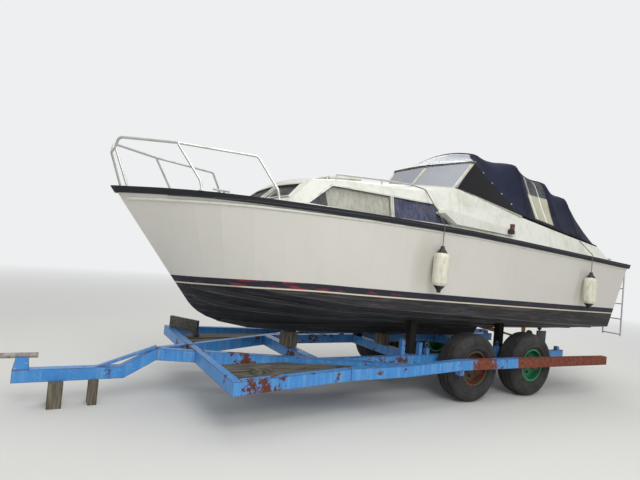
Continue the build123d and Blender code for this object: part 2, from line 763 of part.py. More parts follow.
with BuildPart() as cabin:
    half = hatch_size / 2 - 10
    add(on_hatch(-half, half, -half, half, -hatch_lift - 20, 0))
    for y in (-hatch_hinge_y, hatch_hinge_y):
        for side in (-1, 1):
            start, end = sorted((y + side * (hatch_leaf / 2 + 1), y + side * (hatch_leaf / 2 + 23)))
            add(on_hatch(hatch_size / 2 + 1, hinge_line_x + hatch_pin + 4, start, end, -hatch_lift - 16,
                         hatch_pin + 4))
            add(hatch_rod(start, end, hatch_pin + 4))
            add(hatch_rod(start, end, hatch_pin + running_gap), mode=Mode.SUBTRACT)
    add(cabin_outside)
    add(cabin_inside, mode=Mode.SUBTRACT)
    half = hatch_open / 2
    add(on_hatch(-half, half, -half, half, -120, 60), mode=Mode.SUBTRACT)
    add(over_deck, mode=Mode.INTERSECT)
    for prism in side_cuts + front_prisms():
        add(prism, mode=Mode.SUBTRACT)

with BuildPart() as roof_hatch:
    half = hatch_size / 2
    add(on_hatch(-half, half, -half, half, seat_gap, hatch_thickness))
    for y in (-hatch_hinge_y, hatch_hinge_y):
        start, end = y - hatch_leaf / 2, y + hatch_leaf / 2
        add(on_hatch(half - 2, hinge_line_x, start, end, 3, 2 * hatch_pin + 4))
        add(hatch_rod(start, end, hatch_pin + 3))
        add(hatch_rod(start - 22, end + 22, hatch_pin))

pane_layer = cabin_loft(window_inset) - cabin_loft(window_inset + window_wall)
with BuildPart() as front_windows:
    for prism in front_prisms():
        add(pane_layer & prism)
with BuildPart() as side_windows:
    for prism in side_cuts:
        add(pane_layer & prism)
with BuildPart() as window_trims:
    trim_layer = cabin_loft(-trim_proud) - cabin_outside
    wide_prisms = (side_prisms(side_window_fore, trim_width) + side_prisms(side_window_aft, trim_width)
                   + front_prisms(trim_width))
    for prism in wide_prisms:
        add(trim_layer & prism)
    for prism in side_cuts + front_prisms():
        add(prism, mode=Mode.SUBTRACT)
with BuildPart() as curtains:
    curtain_layer = cabin_loft(cabin_wall + seat_gap) - cabin_loft(cabin_wall + seat_gap + curtain_thickness)
    for prism in side_prisms(side_window_fore, 12) + side_prisms(side_window_aft, 12):
        add(curtain_layer & prism)

bulkhead_rear_x = cabin_end_x - bulkhead_thickness
door_half = door_width / 2
door_axis = (bulkhead_rear_x - 11, door_half - 3)
door_hinge_zs = (sole_z + door_sill + 180, sole_z + door_sill + door_height - 180)
end_row = cabin_rows[-1]
with BuildPart() as bulkhead:
    with BuildSketch(Plane.YZ.offset(bulkhead_rear_x)):
        with BuildLine():
            Polyline((-end_row[2], end_row[3]), (-end_row[1], cabin_foot), (end_row[1], cabin_foot),
                     (end_row[2], end_row[3]))
            ThreePointArc((end_row[2], end_row[3]), (0, end_row[4]), (-end_row[2], end_row[3]))
        make_face()
    extrude(amount=bulkhead_thickness)
    add(over_deck, mode=Mode.INTERSECT)
    add(block(bulkhead_rear_x, cabin_end_x, seat_gap - cockpit_half, cockpit_half - seat_gap, sole_z, 1500))
    add(block(bulkhead_rear_x, cabin_end_x, -door_half, door_half, sole_z + door_sill,
              sole_z + door_sill + door_height), mode=Mode.SUBTRACT)
    for z in door_hinge_zs:
        for low in (z - 16 - 21, z + 16 + 1):
            add(block(door_axis[0] - 9, bulkhead_rear_x, door_axis[1] + 3, door_axis[1] + 34, low, low + 20))
            add(rod((*door_axis, low), (*door_axis, low + 20), 9))
            add(rod((*door_axis, low), (*door_axis, low + 20), door_pin + running_gap), mode=Mode.SUBTRACT)

with BuildPart() as companion_door:
    add(block(bulkhead_rear_x, bulkhead_rear_x + door_thickness, door_gap - door_half, door_half - door_gap,
              sole_z + door_sill + door_gap, sole_z + door_sill + door_height - door_gap))
    for z in door_hinge_zs:
        add(block(door_axis[0] - 6, bulkhead_rear_x, door_axis[1] - 40, door_axis[1], z - 16, z + 16))
        add(rod((*door_axis, z - 16), (*door_axis, z + 16), 9))
        add(rod((*door_axis, z - 37), (*door_axis, z + 37), door_pin))

# Cockpit: coaming, liner, console, helm and seats


def coaming_loft(inset, rise):
    """The coaming's outside form from side to side, drawn in and raised."""
    with BuildPart(mode=Mode.PRIVATE) as form:
        for x, foot_y, top_y, top_z in coaming_rows:
            with BuildSketch(Plane.YZ.offset(x)):
                with BuildLine():
                    Polyline((-top_y + inset, top_z + rise), (-foot_y + inset, cabin_foot),
                             (foot_y - inset, cabin_foot), (top_y - inset, top_z + rise), close=True)
                make_face()
        loft(ruled=True)
    return form.part


coaming_outside = coaming_loft(0, 0)
aft_space = block(aft_coaming_x, 0, -1300, 1300, 1200, 2400)
with BuildPart() as coaming:
    add(side_plate(step_outline, 800, step_out))
    mirror(about=Plane.XZ)
    add(cabin_outside, mode=Mode.SUBTRACT)
    add(bulkhead.part, mode=Mode.SUBTRACT)
    add(coaming_outside)
    add(coaming_loft(coaming_thickness, 60) & aft_space, mode=Mode.SUBTRACT)
    add(over_deck, mode=Mode.INTERSECT)

with BuildPart() as canopy_track:
    for x, foot_y, top_y, top_z in coaming_rows[:-1]:
        centre_y = top_y - coaming_thickness / 2
        with BuildSketch(Plane.YZ.offset(max(x, aft_coaming_x))):
            with BuildLine():
                Polyline((centre_y - track_width / 2, top_z), (centre_y + track_width / 2, top_z),
                         (centre_y + track_width / 2, top_z + track_height),
                         (centre_y - track_width / 2, top_z + track_height), close=True)
            make_face()
    loft(ruled=True)
    mirror(about=Plane.XZ)
    add(coaming_outside, mode=Mode.SUBTRACT)
window_trims.part -= coaming.part
window_trims.part -= deck.part

with BuildPart() as cockpit_liner:
    add(block(cockpit_aft_x, bulkhead_rear_x, -cockpit_half, cockpit_half, sole_z - sole_thickness, 1600))
    inner_half = cockpit_half - liner_thickness
    add(block(cockpit_aft_x + liner_thickness, bulkhead_rear_x, -inner_half, inner_half, sole_z, 1600),
        mode=Mode.SUBTRACT)
    add(over_deck, mode=Mode.SUBTRACT)
    add(block(bulkhead_rear_x, cabin_sole_x, -cabin_sole_half, cabin_sole_half, sole_z - sole_thickness, sole_z))

tilt = radians(helm_tilt)
helm_axis = Vector(-sin(tilt), 0, cos(tilt))
helm_y = -(seat_inner_y + seat_outer_y) / 2
helm_foot = Vector(-1832, helm_y, 1475)
helm_plane = Plane(origin=helm_foot + helm_axis * helm_reach, x_dir=(cos(tilt), 0, sin(tilt)), z_dir=helm_axis)
with BuildPart() as dash:
    add(side_plate(dash_outline, seat_gap - inner_half, dash_inner_y))
    add(rod(helm_foot - helm_axis * 90, helm_foot + helm_axis * 40, helm_shaft + running_gap), mode=Mode.SUBTRACT)

with BuildPart() as helm_wheel:
    ring = Torus(helm_radius - helm_rim, helm_rim, mode=Mode.PRIVATE)
    add(helm_plane.location * ring)
    add(rod(helm_foot - helm_axis * 80, helm_foot + helm_axis * (helm_reach + 16), helm_shaft))
    add(rod(helm_foot + helm_axis * (helm_reach - 14), helm_foot + helm_axis * (helm_reach + 16), 34))
    for index in range(3):
        turn = radians(90 + 120 * index)
        reach = helm_radius - helm_rim
        tip = helm_plane.from_local_coords((reach * cos(turn), reach * sin(turn), 0))
        add(bar(helm_plane.origin, tip, 34, 10, helm_axis))

seat_top = sole_z + seat_height
seat_blocks = ((seat_x, seat_x + seat_length, seat_inner_y, seat_outer_y),
               (seat_x, seat_x + seat_length, -seat_outer_y, -seat_inner_y),
               (bench_x, bench_x + bench_length, -seat_outer_y, seat_outer_y))
with BuildPart() as seat_boxes:
    for row in seat_blocks:
        add(block(*row, sole_z, seat_top - seat_cushion))
with BuildPart() as cushions:
    for x0, x1, y0, y1 in seat_blocks:
        add(block(x0, x1, y0, y1, seat_top - seat_cushion, seat_top))
        add(block(x0, x0 + seat_cushion, y0, y1, seat_top, seat_top + back_height))

# Windscreen and canopy


def framed(start, end, width):
    """A square bar between two points, run on by half its width at each end."""
    start, end = Vector(*start), Vector(*end)
    along = (end - start).normalized() * (width / 2)
    return bar(start - along, end + along, width, width)


def pane(foot, head, next_foot, next_head, thickness):
    """A straight-ruled pane between two slanting edges."""
    with BuildPart(mode=Mode.PRIVATE) as piece:
        for low, high in ((foot, head), (next_foot, next_head)):
            low, high = Vector(*low), Vector(*high)
            across = (Vector(*next_foot) + Vector(*next_head) - Vector(*foot) - Vector(*head))
            rise = high - low
            square = across - rise * (across.dot(rise) / rise.dot(rise))
            with BuildSketch(Plane(origin=(low + high) / 2, x_dir=rise, z_dir=square)):
                Rectangle(rise.length, thickness)
        loft(ruled=True)
    return piece.part


def flipped(point):
    """The same point on the other side of the centreline."""
    x, y, z = point
    return x, -y, z


with BuildPart() as windscreen_frame:
    for start, end in ((corner_foot, corner_head), (corner_foot, aft_foot), (corner_head, aft_head),
                       (aft_foot, aft_head)):
        add(framed(start, end, frame_bar))
    mirror(about=Plane.XZ)
    add(framed(corner_foot, flipped(corner_foot), frame_bar))
    add(framed(corner_head, flipped(corner_head), frame_bar))
    for form in (cabin_outside, bulkhead.part, coaming_outside, canopy_track.part):
        add(form, mode=Mode.SUBTRACT)

with BuildPart() as windscreen_glass:
    add(pane(corner_foot, corner_head, aft_foot, aft_head, pane_thickness))
    low, high, rear = (Vector(*point) for point in quarter_pane)
    across = (high - low).cross(rear - low)
    quarter_plane = Plane(origin=low, x_dir=rear - low, z_dir=across)
    corners = [tuple(quarter_plane.to_local_coords(point))[:2] for point in (low, high, rear)]
    add(plate(corners, quarter_plane, -pane_thickness / 2, pane_thickness / 2))
    mirror(about=Plane.XZ)
    add(pane(flipped(corner_foot), flipped(corner_head), corner_foot, corner_head, pane_thickness))
    for form in (windscreen_frame.part, cabin_outside, bulkhead.part, coaming_outside, canopy_track.part):
        add(form, mode=Mode.SUBTRACT)


def canopy_loft(inset):
    """The canopy's form over its hoops, drawn in by inset and then let down and run past both ends."""
    with BuildPart(mode=Mode.PRIVATE) as form:
        for index, (x, foot_y, foot_z, shoulder_y, shoulder_z, crown_z) in enumerate(canopy_rows):
            last = index == len(canopy_rows) - 1
            start = x + inset if index == 0 or last else x
            drop = 2.2 * inset if last else inset
            with BuildSketch(Plane.YZ.offset(start)):
                with BuildLine():
                    Polyline((-shoulder_y + inset, shoulder_z - drop), (-foot_y + inset, foot_z - 4 * inset),
                             (foot_y - inset, foot_z - 4 * inset), (shoulder_y - inset, shoulder_z - drop))
                    ThreePointArc((shoulder_y - inset, shoulder_z - drop), (0, crown_z - drop),
                                  (-shoulder_y + inset, shoulder_z - drop))
                make_face()
        loft(ruled=True)
    return form.part


canopy_form = canopy_loft(0) - canopy_loft(canopy_thickness)
with BuildPart() as canopy_cover:
    add(canopy_form)
    add(side_plate(screen_cut, -1300, 1300), mode=Mode.SUBTRACT)
    for form in (windscreen_frame.part, windscreen_glass.part, coaming_outside, canopy_track.part):
        add(form, mode=Mode.SUBTRACT)
clear_space = [block(clear_roof_end_x, 0, -1300, 1300, 1500, 2700), side_plate(clear_window, 500, 1300),
               side_plate(clear_window, -1300, -500)]
with BuildPart() as canopy_windows:
    for space in clear_space:
        add(canopy_cover.part & space)
with BuildPart() as canopy:
    add(canopy_cover.part)
    for space in clear_space:
        add(space, mode=Mode.SUBTRACT)

with BuildPart() as canopy_hoops:
    for x, foot_y, foot_z, shoulder_y, shoulder_z, crown_z in canopy_rows[2:-1]:
        inner = canopy_thickness + hoop_radius + 4
        side_y = between(coaming_rows, x, 2) - coaming_thickness + hoop_radius + 1
        side_z = between(coaming_rows, x, 3) - 5
        half = shoulder_y - inner
        port_half = [(x, side_y, side_z), (x, half, shoulder_z - inner),
                     (x, 0.5 * half, crown_z - inner - 0.25 * (crown_z - shoulder_z))]
        top = (x, 0, crown_z - inner)
        add(bent_tube(port_half + [top] + cross(port_half)[::-1], hoop_radius, 70))
    for form in (coaming_outside, canopy_track.part, canopy_cover.part, windscreen_glass.part):
        add(form, mode=Mode.SUBTRACT)

# Pulpit, rails, cleats and lamps

with BuildPart() as pulpit:
    add(bent_tube(pulpit_side, tube_radius, 55))
    add(bent_tube(pulpit_mid, tube_radius, 40))
    mirror(about=Plane.XZ)
    add(rod(pulpit_side[-2], flipped(pulpit_side[-2]), tube_radius))
    add(deck.part, mode=Mode.SUBTRACT)
    add(rubbing_strake.part, mode=Mode.SUBTRACT)

with BuildPart() as grab_rails:
    feet = [(x, y, between(cabin_rows, x, 4) - 10 - (between(cabin_rows, x, 4) - between(cabin_rows, x, 3))
             * (y / between(cabin_rows, x, 2)) ** 2) for x, y, z in grab_points]
    for foot, point in zip(feet, grab_points):
        add(rod(foot, point, grab_radius))
        with Locations(point):
            Sphere(grab_radius)
    for start, end in zip(grab_points, grab_points[1:]):
        add(rod(start, end, grab_radius))
    mirror(about=Plane.XZ)
    add(cabin_outside, mode=Mode.SUBTRACT)


def deck_top(x, y):
    """Height of the cambered deck."""
    crown = faired(crown_rows, [x], 0)[0][1]
    return crown - camber_drop * (y / camber_half) ** 2


with BuildPart() as mooring_cleats:
    for x, y in cleat_points:
        z = deck_top(x, y) - 6
        for shift in (-28, 28):
            add(rod((x + shift, y, z), (x + shift, y, z + 44), 9))
        add(rod((x - 85, y, z + 44), (x + 85, y, z + 44), 10))
    mirror(about=Plane.XZ)
    add(deck.part, mode=Mode.SUBTRACT)

with BuildPart() as nav_lamps:
    x, y, z = lamp_point
    add(block(x - 38, x + 38, step_out, y, z - 22, z + 22))
    mirror(about=Plane.XZ)

# Fenders and their ropes


def fender(x, off, top_z):
    """One blown fender hanging upright from the eye at its top."""
    with BuildPart(mode=Mode.PRIVATE) as piece:
        with BuildSketch(Plane(origin=(x, off, top_z), x_dir=(1, 0, 0), z_dir=(0, -1, 0))):
            with BuildLine():
                Polyline((0, 0), (20, 0), (26, -30), (fender_radius - 14, -fender_cone),
                         (fender_radius, -fender_cone - 26), (fender_radius, -fender_length + 20),
                         (fender_radius - 14, -fender_length - 6), (26, -fender_length - 58),
                         (20, -fender_length - 88), (0, -fender_length - 88), close=True)
            make_face()
        revolve(axis=Axis((x, off, 0), (0, 0, 1)))
    return piece.part


with BuildPart() as fenders:
    for row in fender_rows.values():
        add(fender(*row))
    mirror(about=Plane.XZ)


def fender_rope(row, side):
    """The rope of one fender, from its fastening over the strake and down to the fender's eye."""
    path = [(x, side * y, z) for x, y, z in (*rope_rows[row], fender_rows[row])]
    with BuildPart() as piece:
        add(bent_tube(path, rope_radius, rope_bend))
    return piece


# Propeller, shaft gear, rudder, engine and ladder

with BuildPart() as shaft_gear:
    add(rod(on_shaft(bush_x[1]), on_shaft(bush_x[0]), bush_radius - seat_gap))
    add(rod(on_shaft(bracket_x - 35), on_shaft(bracket_x + 35), shaft_radius + 14))
    bracket_z = on_shaft(bracket_x).Z
    add(side_plate(((bracket_x - 26, bracket_z), (bracket_x + 30, bracket_z), (bracket_x + 60, 200),
                    (bracket_x - 40, 200)), -7, 7))
    add(hull_form, mode=Mode.SUBTRACT)
    inner_tube = rod(on_shaft(bush_x[1]), on_shaft(bush_x[0]), bush_radius - seat_gap) & hull_form
    add(inner_tube)
    add(rod(on_shaft(-5000), on_shaft(-2000), shaft_radius + running_gap), mode=Mode.SUBTRACT)

with BuildPart() as propeller:
    add(rod(on_shaft(prop_x - prop_length / 2), on_shaft(shaft_front_x), shaft_radius))
    add(rod(on_shaft(prop_x - prop_length / 2), on_shaft(prop_x + prop_length / 2), prop_hub))
    for index in range(3):
        turn = radians(90 + 120 * index)
        side_run = Vector(0, 1, 0)
        up_run = shaft_run.cross(side_run)
        out_run = side_run * cos(turn) + up_run * sin(turn)
        over_run = shaft_run.cross(out_run)
        with BuildPart(mode=Mode.PRIVATE) as blade:
            for radius, chord, pitch in blade_rows:
                turned = over_run * cos(radians(pitch)) + shaft_run * sin(radians(pitch))
                with BuildSketch(Plane(origin=prop_centre + out_run * radius, x_dir=turned, z_dir=out_run)):
                    Rectangle(chord, blade_thickness)
            loft(ruled=True)
        add(blade.part)

with BuildPart() as rudder:
    add(rod((rudder_x, 0, rudder_top - 60), (rudder_x, 0, 470), stock_radius))
    front, rear, thick = rudder_x + rudder_fore, rudder_x + rudder_fore - rudder_chord, rudder_thickness / 2
    add(plate(((front, 0), (front - 30, thick), (rudder_x - 30, thick), (rear, 2), (rear, -2),
               (rudder_x - 30, -thick), (front - 30, -thick)), Plane.XY, rudder_foot, rudder_top))

with BuildPart() as engine:
    add(block(engine_x[0], engine_x[1], -engine_half, engine_half, *engine_z))

with BuildPart() as ladder_brackets:
    for y in (ladder_ys[0] - 24, ladder_ys[1] + 14):
        add(side_plate(bracket_outline, y, y + 10))
    add(hull_form, mode=Mode.SUBTRACT)
    add(rubbing_strake.part, mode=Mode.SUBTRACT)
    add(rod((ladder_x, ladder_ys[0] - 60, ladder_top), (ladder_x, ladder_ys[1] + 60, ladder_top),
            ladder_pin + running_gap), mode=Mode.SUBTRACT)


def on_ladder(y, z):
    """A point of the hanging ladder, from its height in the boat's frame when that is level."""
    drop = ladder_top - z
    return ladder_x - drop * sin(radians(trim_angle)), y, ladder_top - drop * cos(radians(trim_angle))


with BuildPart() as boarding_ladder:
    for y in ladder_ys:
        add(rod(on_ladder(y, ladder_foot), on_ladder(y, ladder_top + ladder_tube), ladder_tube))
        side = 1 if y == ladder_ys[1] else -1
        add(rod(on_ladder(y, ladder_top), on_ladder(y + 26 * side, ladder_top), ladder_pin))
    for z in ladder_rungs:
        add(rod(on_ladder(ladder_ys[0], z), on_ladder(ladder_ys[1], z), ladder_rung))

for name, piece in (("hull", hull), ("deck", deck), ("rubbing_strake", rubbing_strake), ("cabin", cabin),
                    ("roof_hatch", roof_hatch), ("front_windows", front_windows),
                    ("side_windows", side_windows), ("window_trims", window_trims), ("curtains", curtains),
                    ("bulkhead", bulkhead), ("companion_door", companion_door), ("coaming", coaming),
                    ("canopy_track", canopy_track), ("cockpit_liner", cockpit_liner), ("dash", dash),
                    ("helm_wheel", helm_wheel), ("seat_boxes", seat_boxes), ("cushions", cushions),
                    ("windscreen_frame", windscreen_frame), ("windscreen_glass", windscreen_glass),
                    ("canopy", canopy), ("canopy_windows", canopy_windows), ("canopy_hoops", canopy_hoops),
                    ("pulpit", pulpit), ("grab_rails", grab_rails), ("mooring_cleats", mooring_cleats),
                    ("nav_lamps", nav_lamps), ("fenders", fenders), ("shaft_gear", shaft_gear),
                    ("propeller", propeller), ("rudder", rudder), ("engine", engine),
                    ("ladder_brackets", ladder_brackets), ("boarding_ladder", boarding_ladder)):
    save(name, piece, laid_down)

for row in fender_rows:
    for side_name, side in (("port", 1), ("starboard", -1)):
        save(f"fender_rope_{row}_{side_name}", fender_rope(row, side), laid_down)
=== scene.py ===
# %% [markdown]
# A cabin motor cruiser stands laid up on its blue launching trailer. The hull, cabin, rails, wheels and
# trailer frame arrive as finished solids. This lesson dresses them: weathered gelcoat, chipped paint,
# rust, cloth, clear sheet and rope, and it adds the small things that a boatyard would notice.
# Everything is in metres, +X towards the bow, +Y to port and +Z up, with the ground at z = 0.

# %% Load the boat
import functools
import math

import bmesh
import bpy
from mathutils import Matrix, Vector
from mathutils.bvhtree import BVHTree


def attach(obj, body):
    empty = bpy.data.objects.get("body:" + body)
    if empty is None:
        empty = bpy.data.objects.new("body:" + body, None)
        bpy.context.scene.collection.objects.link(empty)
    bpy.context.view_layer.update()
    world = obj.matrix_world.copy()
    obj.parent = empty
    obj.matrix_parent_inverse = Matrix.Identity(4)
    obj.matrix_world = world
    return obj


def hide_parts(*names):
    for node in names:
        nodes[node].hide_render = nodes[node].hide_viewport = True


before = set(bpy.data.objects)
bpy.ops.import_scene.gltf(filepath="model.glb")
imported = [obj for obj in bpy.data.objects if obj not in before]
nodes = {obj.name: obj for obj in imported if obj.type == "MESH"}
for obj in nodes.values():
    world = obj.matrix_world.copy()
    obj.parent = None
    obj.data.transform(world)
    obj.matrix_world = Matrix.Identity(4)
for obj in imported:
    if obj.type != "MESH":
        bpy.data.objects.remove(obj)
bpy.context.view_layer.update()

# %% [markdown]
# The boat is trimmed a little bow-up on its trailer, so its own level lines are not the ground's. Paint
# bands and streaks follow the boat. These few numbers turn a point of the boat's own frame, whose origin
# is under the keel over the middle crossbeam, into the shared frame.

# %% The boat's own frame
TRIM = math.radians(1.3)
BOAT_ORIGIN = Vector((1.090, 0.0, 0.689))
BOAT = Matrix.Translation(BOAT_ORIGIN) @ Matrix.Rotation(-TRIM, 4, "Y")
TRAILER_X = 2.240
SIDES = (("port", 1), ("starboard", -1))


def on_boat(x, y, z):
    """A point of the boat's own frame, in the shared frame."""
    return BOAT @ Vector((x, y, z))


# %% [markdown]
# The camera comes first. It stands at eye height off the port bow. The picture was held a little askew,
# so the camera rolls by five degrees.

# %% Camera
EYE = Vector((TRAILER_X + 1.3901, 4.9828, 1.615))
AZIMUTH, PITCH, ROLL = (math.radians(angle) for angle in (-119.74, 1.83, 5.20))
FOCAL_PIXELS, FRAME_WIDTH = 468.26, 640
SENSOR = 36.0
ahead = Vector((math.cos(PITCH) * math.cos(AZIMUTH), math.cos(PITCH) * math.sin(AZIMUTH), math.sin(PITCH)))
level_right = Vector((math.sin(AZIMUTH), -math.cos(AZIMUTH), 0))
level_up = level_right.cross(ahead)
right = level_right * math.cos(ROLL) + level_up * math.sin(ROLL)
up = level_up * math.cos(ROLL) - level_right * math.sin(ROLL)
camera = bpy.data.objects.new("camera", bpy.data.cameras.new("camera"))
bpy.context.scene.collection.objects.link(camera)
camera.data.sensor_width = SENSOR
camera.data.lens = SENSOR * FOCAL_PIXELS / FRAME_WIDTH
camera.matrix_world = Matrix.Translation(EYE) @ Matrix((right, up, -ahead)).transposed().to_4x4()
bpy.context.scene.camera = camera
print("lens", round(camera.data.lens, 2), "mm")

# %% [markdown]
# Four ropes hold the fenders. Each is a short length of 10 mm laid rope that leaves its fastening, goes
# over the strake and hangs straight under the fender's weight. One smooth NURBS line per rope follows
# its route, and the round section comes from the curve's own bevel.

# %% Fender ropes
ROPE_RADIUS = 0.005
# Each route's points: fastening, a point each side of every edge that it goes over, the fender's eye
ROPE_ROUTES = {
    "fore": ((-1.130, 0.636, 1.887), (-1.130, 0.789, 1.842), (-1.130, 0.846, 1.825), (-1.130, 0.886, 1.780),
             (-1.130, 1.177, 1.453), (-1.130, 1.217, 1.408), (-1.130, 1.217, 1.348), (-1.130, 1.217, 1.170)),
    "aft": ((-3.965, 1.0064, 1.552), (-3.965, 1.172, 1.397), (-3.965, 1.212, 1.360), (-3.965, 1.212, 1.300),
            (-3.965, 1.212, 1.119)),
}


def make_rope(row, side_name, side):
    """One rope as a bevelled NURBS curve, and its length."""
    curve = bpy.data.curves.new(f"rope_{row}_{side_name}", "CURVE")
    curve.dimensions = "3D"
    points = [on_boat(x, side * y, z) for x, y, z in ROPE_ROUTES[row]]
    spline = curve.splines.new("NURBS")
    spline.points.add(len(points) - 1)
    for slot, point in zip(spline.points, points):
        slot.co = (*point, 1)
    spline.order_u = 3
    spline.use_endpoint_u = True
    spline.resolution_u = 8
    curve.bevel_depth = ROPE_RADIUS
    curve.bevel_resolution = 3
    curve.use_fill_caps = True
    rope = bpy.data.objects.new(f"rope_{row}_{side_name}", curve)
    bpy.context.scene.collection.objects.link(rope)
    length = sum((b - a).length for a, b in zip(points, points[1:]))
    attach(rope, "craft")
    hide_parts(f"fender_rope_{row}_{side_name}")
    return rope, length


ropes = []
for row in ROPE_ROUTES:
    for side_name, side in SIDES:
        rope, length = make_rope(row, side_name, side)
        ropes.append(rope)
        print(rope.name, round(length, 3), "m")

# %% [markdown]
# Materials are node trees. A few helpers keep them short. One adds a node with its values and links, and
# the others make what repeats: noise, a colour ramp, a stain, a sum, a bump. Each finds its tree from an
# output that it is given. Patterns read Object coordinates, which here are the shared frame, because every
# piece lies at the origin. Patterns that belong to the boat first turn those into the boat's own frame.

# %% Helpers for materials


def node(tree, kind, values=None, **settings):
    """A node with settings; each value is a constant or the output that feeds the input."""
    made = tree.nodes.new(kind)
    for name, value in settings.items():
        setattr(made, name, value)
    for name, value in (values or {}).items():
        if isinstance(value, bpy.types.NodeSocket):
            tree.links.new(value, made.inputs[name])
        else:
            made.inputs[name].default_value = value
    return made


def add_node(tree, kind, values=None, **settings):
    """A shader node, named by the end of its type."""
    return node(tree, "ShaderNode" + kind, values, **settings)


def new_material(name, **values):
    """A material, its tree and its Principled shader, with plain values set on the shader itself."""
    material = bpy.data.materials.new(name)
    material.use_nodes = True
    shader = material.node_tree.nodes["Principled BSDF"]
    for socket, value in values.items():
        shader.inputs[socket.replace("_", " ")].default_value = value
    return material, material.node_tree, shader


def feed(shader, **sockets):
    """Links outputs to the shader's inputs."""
    for name, socket in sockets.items():
        shader.id_data.links.new(socket, shader.inputs[name.replace("_", " ")])


def object_coords(tree):
    """Object coordinates, which are the shared frame."""
    return add_node(tree, "TexCoord").outputs["Object"]


def boat_coords(tree):
    """Object coordinates turned into the boat's own frame."""
    return add_node(tree, "Mapping", {"Vector": object_coords(tree), "Location": BOAT_ORIGIN,
                                      "Rotation": (0, -TRIM, 0)}, vector_type="TEXTURE").outputs["Vector"]


def stretched(coords, scale):
    """Coordinates stretched by a scale."""
    return add_node(coords.id_data, "Mapping", {"Vector": coords, "Scale": scale}).outputs["Vector"]


def axes(coords):
    """The three numbers of a place."""
    return add_node(coords.id_data, "SeparateXYZ", {0: coords}).outputs


def noise(coords, scale, detail=4.0, roughness=0.55):
    """Cloudy noise from 0 to 1."""
    return add_node(coords.id_data, "TexNoise", {"Vector": coords, "Scale": scale, "Detail": detail,
                                                 "Roughness": roughness}).outputs["Fac"]


def ramp(factor, *stops):
    """A colour ramp; each stop is a place and a grey."""
    made = add_node(factor.id_data, "ValToRGB", {"Fac": factor})
    for element, (place, grey) in zip(made.color_ramp.elements, stops):
        element.position = place
        element.color = (grey, grey, grey, 1)
    return made.outputs["Color"]


def mixed(factor, first, second):
    """Two colours mixed by a mask."""
    first, second = ((*value, 1) if isinstance(value, tuple) else value for value in (first, second))
    return add_node(factor.id_data, "Mix", {0: factor, 6: first, 7: second}, data_type="RGBA").outputs[2]


def stained(pattern, low, high, amount, first, second):
    """The first colour, and up to an amount of the second where a pattern rises from low to high."""
    return mixed(ramp(pattern, (low, 0), (high, amount)), first, second)


def maths(operation, *values):
    """One sum or comparison of numbers, of which at least one is an output."""
    tree = next(value.id_data for value in values if isinstance(value, bpy.types.NodeSocket))
    return add_node(tree, "Math", dict(enumerate(values)), operation=operation).outputs[0]


# The common sums by name; above gives 1 where the first number is the greater
plus, minus, times, over, largest, above = (
    functools.partial(maths, operation)
    for operation in ("ADD", "SUBTRACT", "MULTIPLY", "DIVIDE", "MAXIMUM", "GREATER_THAN"))


def bump(height, strength, distance):
    """A bump normal from a height."""
    return add_node(height.id_data, "Bump", {"Height": height, "Strength": strength,
                                             "Distance": distance}).outputs["Normal"]


def true_normal(tree):
    """The surface's own normal."""
    return add_node(tree, "NewGeometry").outputs["Normal"]


def edge_wear(tree, radius=0.012):
    """1 near a sharp edge, 0 on a flat face, from a bevelled normal against the true one."""
    soft = add_node(tree, "Bevel", {"Radius": radius}, samples=4).outputs["Normal"]
    dot = add_node(tree, "VectorMath", {0: soft, 1: true_normal(tree)}, operation="DOT_PRODUCT")
    return minus(1.0, dot.outputs["Value"])


def srgb(*levels):
    """A screen colour from 0 to 255 as the linear colour that a shader wants."""
    return tuple(((c / 255 + 0.055) / 1.055) ** 2.4 if c > 10 else c / 255 / 12.92 for c in levels)


def between(first, second, share):
    """A row of numbers, a share of the way from one row to another."""
    return tuple(a + (b - a) * share for a, b in zip(first, second))


def sides_of(outline):
    """The sides of a closed outline, as pairs of corners."""
    return zip(outline, outline[1:] + outline[:1])


def dress(material, *names):
    """Puts one material on CAD nodes or pieces, in place of what they came with."""
    for name in names:
        mesh = (nodes.get(name) or bpy.data.objects[name]).data
        mesh.materials.clear()
        mesh.materials.append(material)
    print(material.name, "on", ", ".join(names))


# %% [markdown]
# The topsides are white gelcoat gone a little chalky, with faint vertical runs below the strake, a darker
# smear forward of the fore fender and a painted shadow beside the aft fender. Under them lies the
# boot-top, navy worn through to an older red, then a thin cream line, then black antifouling scuffed grey
# and pink along the spray rails. The bottom's sharp edges, the spray rails among them, are lighter
# pink-grey: rubbed wear together with a painted highlight. Those bands follow the boat's own height, and
# they sink slightly towards the stem, which one power curve describes. The hull could be cut into bands
# with a material each, but masks by height keep it one piece and let one colour wear through the next.

# %% Hull paint
WHITE_GEL = srgb(214, 211, 203)
NAVY = srgb(20, 24, 42)
OLD_RED = srgb(138, 34, 48)
CREAM = srgb(212, 205, 184)
BOTTOM_BLACK = srgb(22, 22, 26)
BOTTOM_GREY = srgb(78, 80, 82)
BOTTOM_PINK = srgb(98, 72, 74)
SMEAR_AND_SHADOW_GREY = srgb(150, 148, 136)
# Fore fender's smear, then aft fender's painted shadow: middle along and up, half length and half height
FENDER_SMEAR_AND_SHADOW = ((-0.960, 0.950, 0.170, 0.400), (-3.850, 0.900, 0.060, 0.330))
# The boot-top's upper edge: its height, where it starts to sink, and the power curve that it sinks by
BOOT_TOP_Z, SINKS_FROM_X, BOOT_DROP, BOOT_POWER = 0.634, 0.1, 0.0513, 1.544
LINE_BELOW, LINE_HALF = 0.075, 0.0075


